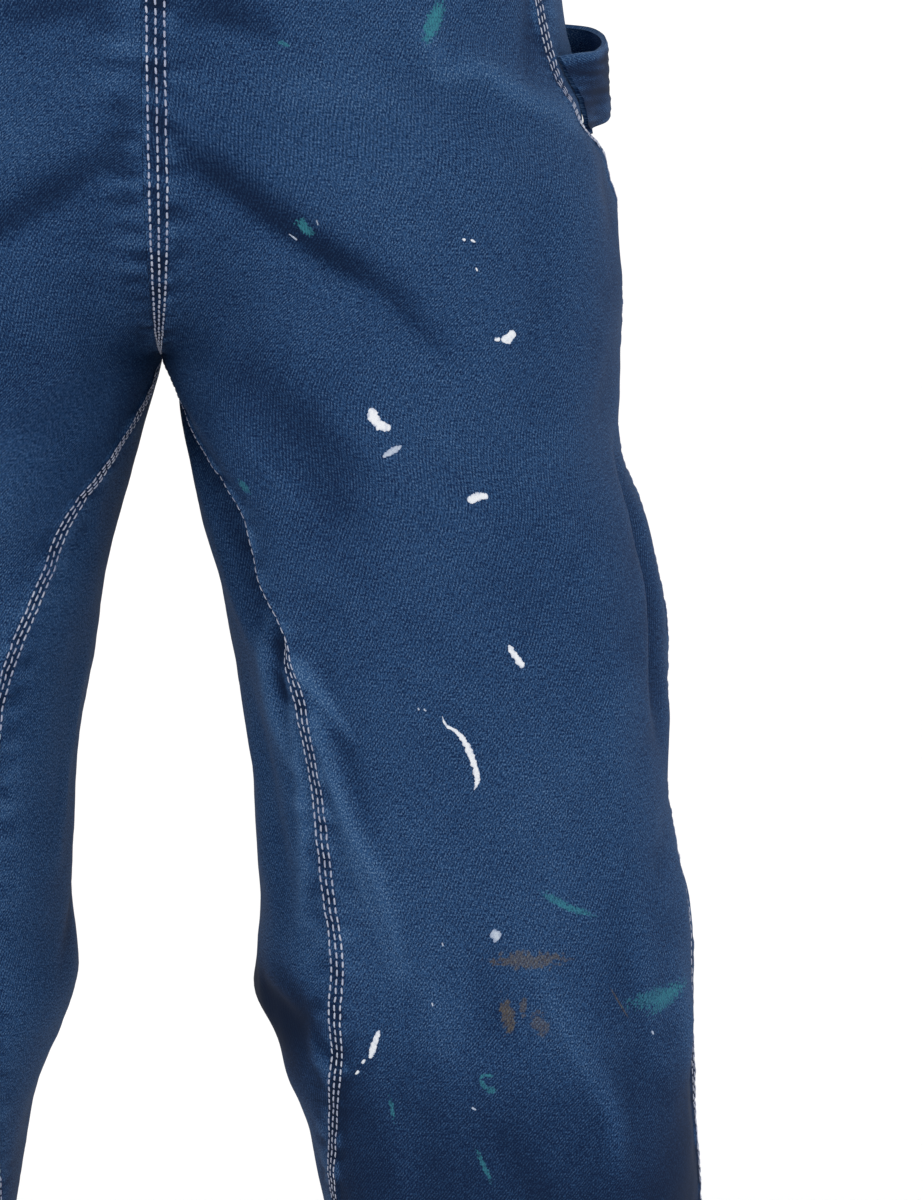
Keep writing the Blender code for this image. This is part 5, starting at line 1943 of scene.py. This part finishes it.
@dataclass
class PocketMouth:
    """The curved, stitched edge of a hip pocket."""

    side: Side
    finishes: Finishes
    top: tuple = (0.150, 1.046)
    pull: tuple = (0.120, 0.925)
    end: tuple = (0.026, 0.896)
    breadth: float = 14 * MM
    row_width: float = 0.236
    lift: float = 0.85 * MM
    cloth: float = 1.1 * MM
    rows: int = 90
    stitch_rows: tuple = (-0.34, 0.12)
    cut: SheetCut = SheetCut(0.014, 0.200)

    def build(self, leg: Leg) -> None:
        """Makes the band and its stitches.

        Args:
            leg: The leg that carries it.
        """
        word, panel = self.side.word, leg.panels[Face.FRONT]
        points, _ = self.band(panel, np.linspace(-0.5, 0.5, 8))
        wear = 0.10 * ripple(points, 0.02, 91)
        wear[:, 0] += 0.35
        wear[:, -1] += 0.10
        flip = self.side is Side.LEFT
        shell = ClothShell(f"pocket_mouth_{word}", panel.placed(points), self.cloth, wear, flip)
        piece = shell.build(self.finishes.blue, self.finishes.reverse)
        self.cut.declare(piece, "stretched", [f"cloth_front_leg_{word}"])
        sewing = Stitcher(f"stitching_pocket_{word}", self.finishes.thread)
        mirror = np.array([self.side.value, 1.0, 1.0])
        points, normals = self.band(panel, np.array(self.stitch_rows))
        for column in range(len(self.stitch_rows)):
            sewing.row(panel.placed(points)[:, column], normals[:, column] * mirror)
        sewing.build()

    def band(self, panel: LegPanel, spread: Grid) -> tuple:
        """Points and normals of lines beside the pocket's curve.

        Args:
            panel: The front panel.
            spread: Shares of the band's breadth from its middle.

        Returns:
            Points of the left leg and their normals.
        """
        share = np.linspace(0.0, 1.0, self.rows)[:, None]
        top, pull, end = (np.array(p) for p in (self.top, self.pull, self.end))
        middle = top * (1 - share) ** 2 + pull * 2 * share * (1 - share) + end * share**2
        forward = np.gradient(middle, axis=0)
        aside = unit(np.column_stack([-forward[:, 1], forward[:, 0]]))
        flat = middle[:, None, :] + aside[:, None, :] * spread[None, :, None] * self.breadth
        down = FORM.share_down(np.minimum(flat[..., 1], FORM.waist_seam - 2 * MM))
        across = flat[..., 0] / self.row_width
        normals = panel.outward(panel.plain, down, across)
        return panel.skin(down, across) + normals * self.lift, normals


@dataclass
class HammerLoop:
    """The loop of folded cloth that stands off the left hip, its ends sewn to the outseam and the back.

    An end has a height and a share across its panel. The stand has shares along the loop, each with its x.
    """

    finishes: Finishes
    front_end: tuple = (0.7962, 0.020)
    back_end: tuple = (0.8137, 0.360)
    stand: tuple = ((0.12, 0.1950), (0.30, 0.2010), (0.50, 0.2030), (0.70, 0.2010), (0.88, 0.1950))
    slant: float = 0.07
    breadth: float = 34 * MM
    span: float = 110 * MM
    columns: int = 84
    cloth: float = 2.4 * MM
    cut: SheetCut = SheetCut(0.034, 0.157)

    def line(self, leg: Leg, drop: float) -> Grid:
        """One line along the loop.

        Args:
            leg: The left leg.
            drop: How far below the loop's middle it lies.

        Returns:
            Its points, heights above the floor.
        """
        ends = []
        for face, (height, share) in ((Face.FRONT, self.front_end), (Face.BACK, self.back_end)):
            panel = leg.panels[face]
            down, across = np.array([FORM.share_down(height - drop)]), np.array([share])
            normal = panel.outward(panel.plain, down, across)
            ends.append((panel.skin(down, across) + normal * (0.2 * MM + self.cloth / 2))[0])
        middle = [(x, *(ends[0] + (ends[1] - ends[0]) * share)[1:]) for share, x in self.stand]
        return smooth_route([ends[0], *middle, ends[1]], self.columns)

    def build(self, leg: Leg) -> None:
        """Makes the loop.

        Args:
            leg: The left leg, which carries it.
        """
        drops = np.linspace(-0.5, 0.5, 25) * self.breadth
        centres = np.stack([self.line(leg, drop) for drop in drops], axis=1)
        bulge = np.sin(np.linspace(0.0, math.pi, self.columns))[:, None]
        centres[..., 0] += self.slant * drops[None, :] * bulge
        ahead = np.gradient(centres, axis=0)
        out = unit(np.stack([ahead[..., 1], -ahead[..., 0], np.zeros(ahead.shape[:2])], axis=-1))
        spans = np.linspace(0.0, self.span, self.columns)[:, None]
        spans, heights = np.broadcast_arrays(spans, drops[None, :])
        flat = np.stack([spans * 0.18, heights], axis=-1)
        rib = 0.26 * MM * ripple(flat, 0.0052, 12, 10) + 0.32 * MM * ripple(flat, 0.017, 13, 8)
        rounded = -0.7 * MM * (1 - np.sqrt(np.clip(1 - (np.abs(drops) / (self.breadth / 2)) ** 10, 0, 1)))
        points = (centres + out * (self.cloth / 2 + rib + rounded[None, :])[..., None]).transpose(1, 0, 2)
        # The ribs' crowns worn paler and their hollows painted shade; the body darker all over
        wear = (rib * 520).T - 0.28
        # A paler top edge, worn and with a painted highlight; then a worn paler bottom edge
        wear[:3] += np.array([[0.60], [0.50], [0.26]])
        wear[-2:] += 0.25
        points[..., 2] -= SHOULDER_TOP
        # The inner face is painted lighter, as painted light
        shell = ClothShell(
            "hammer_loop", points, self.cloth, wear, warp_down=False, crosswise=True, inner_wear=0.70
        )
        piece = shell.build(self.finishes.blue, self.finishes.blue)
        self.cut.declare(piece, "hung", ["cloth_front_leg_left", "cloth_back_leg_left"])


@dataclass
class Braces:
    """The shoulder straps, from the back bib over the shoulders and round the bars of the buckles."""

    finishes: Finishes
    breadth: float = 38 * MM
    cloth: float = 2.0 * MM
    button_x: float = 0.098
    button_height: float = 1.330
    wire: float = 1.3 * MM
    wire_lift: float = 4.6 * MM
    bar: float = 37.0 * MM
    slider_rise: float = 52 * MM
    slider_bar: float = 2.8 * MM
    gap: float = 0.3 * MM
    core: tuple = (0.070, 0.004, 1.330)
    back_facing: tuple = (0.10, 1.0, 0.0)
    route: tuple = (
        (0.0270, 0.1255, 1.262),
        (0.0285, 0.1262, 1.302),
        (0.0400, 0.1220, 1.360),
        (0.0600, 0.1040, 1.432),
        (0.0760, 0.0640, 1.494),
        (0.0860, 0.0080, 1.519),
        (0.0920, -0.0420, 1.505),
        (0.0960, -0.0800, 1.470),
    )
    columns: int = 17
    cut: SheetCut = SheetCut(0.038, 0.640)

    def fastening(self) -> tuple:
        """Where the left strap's button sits on the front bib.

        Returns:
            The place, and the way out from there.
        """
        height = np.array([self.button_height])
        half = along(FORM.torso_table, height)[0]
        turn = math.pi / 2 - np.arcsin(self.button_x / half)
        for _ in range(8):
            turn = turn + (FORM.torso(turn, height)[:, 0] - self.button_x) / half
        foot, normal = FORM.torso_skin(turn, height, np.zeros(1))
        return foot[0], unit(normal[0] * np.array([1.0, 1.0, 0.0]))

    def line(self) -> tuple:
        """The middle of the left strap.

        Returns:
            Its points and normals, heights above the floor.
        """
        foot, out = self.fastening()
        up = np.array([0.0, 0.0, 1.0])
        bar = foot + up * self.bar + out * self.wire_lift
        turn_radius = self.wire + self.gap + self.cloth / 2
        front = [bar + up * rise + out * turn_radius for rise in (0.075, 0.055, 0.035, 0.015, 0.0)]
        centres = smooth_route([*self.route, *front], 150)
        normals = unit(centres - np.array(self.core))
        near_front = eased((1.492 - centres[:, 2]) / 0.055) * (centres[:, 1] < 0)
        normals = normals + (out - normals) * near_front[:, None]
        near_back = eased((1.520 - centres[:, 2]) / 0.055) * (centres[:, 1] > self.route[5][1])
        normals = normals + (np.array(self.back_facing) - normals) * near_back[:, None]
        around = np.linspace(0, math.pi, 13)[1:, None]
        turned = out * np.cos(around) - up * np.sin(around)
        rise = np.linspace(0, self.slider_rise - self.slider_bar / 2 - self.gap, 14)[1:, None]
        back = bar - out * turn_radius + up * rise
        centres = np.concatenate([centres, bar + turned * turn_radius, back])
        normals = np.concatenate([normals, turned, np.tile(-out, (len(back), 1))])
        return centres, normals

    def build(self) -> None:
        """Makes both straps and their stitches."""
        centres, normals = self.line()
        ahead = np.gradient(centres, axis=0)
        normals = unit(normals - ahead * ((normals * ahead).sum(1) / (ahead * ahead).sum(1))[:, None])
        across = unit(np.cross(ahead, normals))
        shares = np.linspace(-1, 1, self.columns)
        spots = centres[:, None, :] + across[:, None, :] * (shares * self.breadth / 2)[None, :, None]
        rounded = -0.35 * MM * np.abs(shares) ** 12
        sewing = Stitcher("stitching_straps", self.finishes.thread)
        for side in Side:
            mirror = np.array([side.value, 1.0, 1.0])
            relief = 0.20 * MM * ripple(spots, 0.03, 700 + side.value) + 0.10 * MM * ripple(spots, 0.010, 705)
            relief = np.minimum(relief, 0.15 * MM) + rounded[None, :]
            outer = (spots + normals[:, None, :] * (self.cloth / 2 + relief)[..., None]) * mirror
            outer[..., 2] -= SHOULDER_TOP
            # Paler on the relief's crowns as wear, darker in its hollows as painted shade
            wear = relief * 300 + 0.05
            wear[:, [0, -1]] += 0.3
            flip = side is Side.LEFT
            shell = ClothShell(f"strap_{side.word}", outer, self.cloth, wear, flip, warp_down=False)
            piece = shell.build(self.finishes.blue, self.finishes.blue)
            self.cut.declare(piece, "hung", ["cloth_bib_back", f"buckle_{side.word}"])
            for column in (1, -2):
                sewing.row(outer[2:-18, column], (normals * mirror)[2:-18])
        sewing.build()


class PaintTone(Enum):
    """The two dried paints."""

    WHITE = "white"
    BLUISH = "bluish"


@dataclass(frozen=True)
class PaintStroke:
    """A run or drop of thick paint: the picture's pixels along its middle, and its full breadth at each."""

    path: tuple
    breadths: tuple
    tone: PaintTone = PaintTone.WHITE


def marks(tone: StainTone, *rows: tuple) -> tuple:
    """Stains of one tone: a row has start, end, breadth, raggedness, strength, and a grain if it's coarse."""
    return tuple(Stain(tone, *row) for row in rows)


STAINS = marks(
    StainTone.TEAL,
    ((441, 2), (426, 42), 14, 0.40, 0.85),
    ((279, 42), (289, 46), 5, 0.50, 0.60),
    ((297, 222), (313, 235), 9, 0.60, 0.75),
    ((301, 218), (306, 233), 7, 0.50, 0.70),
    ((239, 481), (249, 492), 7, 0.50, 0.60),
    ((543, 893), (572, 909), 8, 0.55, 0.55),
    ((560, 905), (593, 915), 7, 0.55, 0.55),
    ((632, 1003), (681, 988), 18, 0.75, 0.42),
    ((652, 1012), (680, 984), 16, 0.70, 0.42),
    ((480, 1079), (484, 1074), 4, 0.40, 0.70),
    ((484, 1075), (493, 1076), 4, 0.40, 0.70),
    ((480, 1080), (487, 1090), 5, 0.40, 0.60),
    ((486, 1090), (496, 1090), 8, 0.45, 0.60),
    ((390, 1099), (394, 1119), 4, 0.60, 0.60),
    ((477, 1151), (492, 1183), 5, 0.60, 0.60),
) + marks(
    StainTone.RUST,
    ((495, 960), (563, 958), 16, 0.60, 0.36, 420.0),
    ((506, 999), (510, 1032), 14, 0.60, 0.40, 420.0),
    ((523, 999), (524, 1016), 8, 0.60, 0.32, 420.0),
    ((534, 1013), (546, 1036), 15, 0.65, 0.28, 420.0),
    ((611, 989), (629, 1019), 2, 0.20, 0.30, 420.0),
)

# A stroke's pixels, its breadths in pixels, and its paint unless it's white
PAINT_STROKES = tuple(
    PaintStroke(*row)
    for row in (
        (((503, 340), (507, 338), (511, 335), (514, 333)), (7, 10, 9, 6)),
        (((495, 340), (499, 339)), (3, 5)),
        (((371, 410), (373, 416), (377, 422), (381, 425)), (8, 11, 12, 13)),
        (((378, 427), (385, 427), (389, 428)), (9, 9, 7)),
        (((383, 457), (391, 452), (401, 446)), (3, 8, 4), PaintTone.BLUISH),
        (((469, 500), (476, 498), (486, 496)), (7, 11, 8)),
        (((509, 646), (513, 653), (518, 660), (522, 666)), (5, 6, 8, 8)),
        (
            ((442, 716), (445, 724), (457, 732), (465, 743), (471, 757), (476, 770), (477, 782), (474, 790)),
            (2, 3, 4, 7, 7, 7, 6, 3),
        ),
        (((494, 934), (497, 936)), (12, 13), PaintTone.BLUISH),
        (((379, 1031), (376, 1040), (373, 1050), (370, 1057)), (4, 7, 8, 6)),
        (((365, 1060), (362, 1063)), (3, 3)),
        (((358, 1071), (356, 1074)), (4, 3)),
        (((463, 239), (465, 240)), (3, 3)),
        (((289, 234), (297, 240)), (2, 2), PaintTone.BLUISH),
        (((317, 220), (318, 225)), (2, 2), PaintTone.BLUISH),
        (((652, 1031), (653, 1034)), (2, 3), PaintTone.BLUISH),
        (((418, 708), (419, 710)), (2, 2), PaintTone.BLUISH),
        (((424, 709), (426, 711)), (2, 2), PaintTone.BLUISH),
        (((471, 240), (475, 242)), (3, 2)),
        (((476, 268), (477, 271)), (2, 2)),
        (((495, 338), (497, 339)), (2, 2), PaintTone.BLUISH),
        (((442, 943), (443, 946)), (2, 2), PaintTone.BLUISH),
        (((432, 1003), (433, 1006)), (2, 2), PaintTone.BLUISH),
        (((472, 1108), (476, 1110)), (3, 2), PaintTone.BLUISH),
    )
)


@dataclass
class PaintSkin:
    """The skin of one paint in the making: its points, its faces, and how thin it is at each point."""

    verts: list = field(default_factory=list)
    faces: list = field(default_factory=list)
    thin: list = field(default_factory=list)


@dataclass
class PaintWork:
    """Thick dried paint that stands on the cloth."""

    finishes: Finishes
    height: float = 0.42 * MM
    sunk: float = 0.12 * MM
    step: float = 0.45 * MM
    columns: int = 9

    def build(self, leg: Leg, camera: PictureCamera) -> None:
        """Lays every stroke on the left leg's front.

        Args:
            leg: The left leg.
            camera: The camera that the strokes' pixels belong to.
        """
        for tone in PaintTone:
            skin = PaintSkin()
            for k, stroke in enumerate(PAINT_STROKES):
                if stroke.tone is tone:
                    self.lay(stroke, k, leg.tree, camera, skin)
            mesh = bpy.data.meshes.new(f"paint_{tone.value}")
            mesh.from_pydata(skin.verts, [], skin.faces)
            mesh.shade_smooth()
            set_wear(mesh, skin.thin)
            mesh.materials.append(getattr(self.finishes, tone.value))
            worn(add_object(mesh.name, mesh))

    def route(self, stroke: PaintStroke, pixel: float) -> tuple:
        """A stroke's middle and its reach to each side, row by row.

        Args:
            stroke: The stroke.
            pixel: A pixel's real size.

        Returns:
            The middle, the way aside, the half breadth and the roundness of the ends, all in pixels.
        """
        path = np.array(stroke.path, float)
        gaps = np.linalg.norm(np.diff(path, axis=0), axis=1)
        long = (gaps.sum() + max(stroke.breadths[0], stroke.breadths[-1])) * pixel
        rows = max(7, int(long / self.step))
        share = np.linspace(0.0, 1.0, rows)
        line = smooth_route(path, rows) if len(path) > 2 else path[0] + (path[1] - path[0]) * share[:, None]
        at = np.concatenate([[0.0], np.cumsum(gaps)]) / gaps.sum()
        half = np.interp(share, at, stroke.breadths) / 2
        ahead = unit(np.gradient(line, axis=0))
        aside = np.column_stack([-ahead[:, 1], ahead[:, 0]])
        line = line + ahead * ((share - 0.5) * 2 * half * 0.6)[:, None]
        return line, aside, half, np.sqrt(np.clip(1 - (2 * share - 1) ** 6, 0.0, 1.0))

    def lay(self, stroke: PaintStroke, k: int, tree: BVHTree, camera: PictureCamera, skin: PaintSkin) -> None:
        """Adds one stroke to the paint's skin.

        Args:
            stroke: The stroke.
            k: The stroke's number, for its own ragged edge.
            tree: The cloth.
            camera: The camera.
            skin: The skin so far.
        """
        line, aside, half, ends = self.route(stroke, camera.pixel)
        columns = np.linspace(-1, 1, self.columns)
        base = len(skin.verts)
        for i, middle in enumerate(line):
            for column in columns:
                edge = np.array([[*middle, np.sign(column) * 40.0 + k * 97.0]])
                rag = 0.20 * ripple(edge, 7.0, 900 + k, 8)[0] + 0.16 * ripple(edge, 2.4, 950 + k, 8)[0]
                flat = middle + aside[i] * column * half[i] * ends[i] * (1 + rag)
                point, normal = camera.onto(tree, flat)
                crown = max(0.0, 1 - column**2) ** 0.5 * ends[i]
                lump = 0.75 + 0.35 * ripple(np.array([point]), 0.0035, 55, 8)[0]
                skin.verts.append(point + normal * (self.height * crown * lump - self.sunk * (1 - crown)))
                skin.thin.append(1.0 - crown)
        corners = np.arange(base, len(skin.verts)).reshape(len(line), -1)
        quads = (corners[:-1, :-1], corners[:-1, 1:], corners[1:, 1:], corners[1:, :-1])
        skin.faces += np.stack(quads, axis=-1).reshape(-1, 4).tolist()


@dataclass
class Hardware:
    """Buttons, buckles and sliders: pressed and drawn metal, kept as the frame has them."""

    finishes: Finishes

    def dress(self, nodes: dict) -> None:
        """Gives each metal node its finish.

        Args:
            nodes: The frame's nodes by name.
        """
        for name, node in nodes.items():
            if "button" in name:
                finish, slot = self.finishes.brass, "aged_brass"
            elif name.startswith(("buckle", "slider")):
                finish, slot = self.finishes.nickel, "nickel_steel"
            else:
                continue
            node.data.materials.clear()
            node.data.materials.append(finish)
            LOG.info("%s: finished as %s", name, finish.name)


@dataclass
class Studio:
    """A pale floor, a white surround and one soft light."""

    floor_height: float = -1.521
    reach: float = 30.0
    surround: float = 1.08
    light_place: tuple = (-1.6, -2.5, 0.9)
    light_aim: tuple = (0.10, 0.0, -0.60)
    light_side: float = 1.3
    light_watts: float = 6.5

    def build(self) -> None:
        """Makes the floor, the surround and the light."""
        self.build_floor()
        world = bpy.context.scene.world or bpy.data.worlds.new("studio_surround")
        bpy.context.scene.world = world
        world.use_nodes = True
        back = world.node_tree.nodes["Background"]
        back.inputs["Color"].default_value = (1.0, 1.0, 1.0, 1.0)
        back.inputs["Strength"].default_value = self.surround
        lamp = bpy.data.lights.new("key_softbox", "AREA")
        lamp.shape, lamp.size, lamp.energy = "SQUARE", self.light_side, self.light_watts
        made = add_object(lamp.name, lamp)
        made.location = self.light_place
        made.rotation_mode = "QUATERNION"
        made.rotation_quaternion = (Vector(self.light_aim) - made.location).to_track_quat("-Z", "Y")
        bpy.context.scene.view_settings.view_transform = "Standard"
        LOG.info("studio built")

    def build_floor(self) -> None:
        """Makes the floor, of matt white paper."""
        bpy.ops.object.select_all(action="DESELECT")
        bpy.ops.mesh.primitive_plane_add(size=2 * self.reach, location=(0, 0, self.floor_height))
        floor = bpy.context.object
        floor.name = "studio_floor"
        bpy.ops.object.transform_apply(location=True, rotation=True, scale=True)
        paper = Coat("matt_white_paper")
        spot = {"Vector": add_node(paper.tree, "ShaderNodeTexCoord").outputs["Object"]}
        grain = add_node(paper.tree, "ShaderNodeTexNoise", spot, {"Scale": 3.0, "Detail": 2.0}).outputs[0]
        colour = layered(paper.tree, "fbfbfb", [(grain, "f8f8f8")])
        paper.tree.links.new(colour, paper.shader.inputs["Base Color"])
        paper.shader.inputs["Roughness"].default_value = 0.9
        floor.data.materials.append(paper.material)


def main() -> None:
    """Builds every sub-assembly in order."""
    logging.basicConfig(level=logging.INFO, format="%(name)s %(message)s")
    camera = PictureCamera()
    camera.build()
    finishes = Finishes()
    left = Leg(Side.LEFT, finishes, cell=2.7 * MM)
    left.build(STAINS, camera)
    right = Leg(Side.RIGHT, finishes)
    right.build()
    Waistband(finishes).build()
    Bibs(finishes).build()
    for leg in (left, right):
        SideClosing(leg.side, finishes).build(leg)
        PocketMouth(leg.side, finishes).build(leg)
    HammerLoop(finishes).build(left)
    Braces(finishes).build()
    PaintWork(finishes).build(left, camera)
    Hardware(finishes).dress(frame["nodes"])
    Studio().build()


if __name__ == "__main__":
    main()
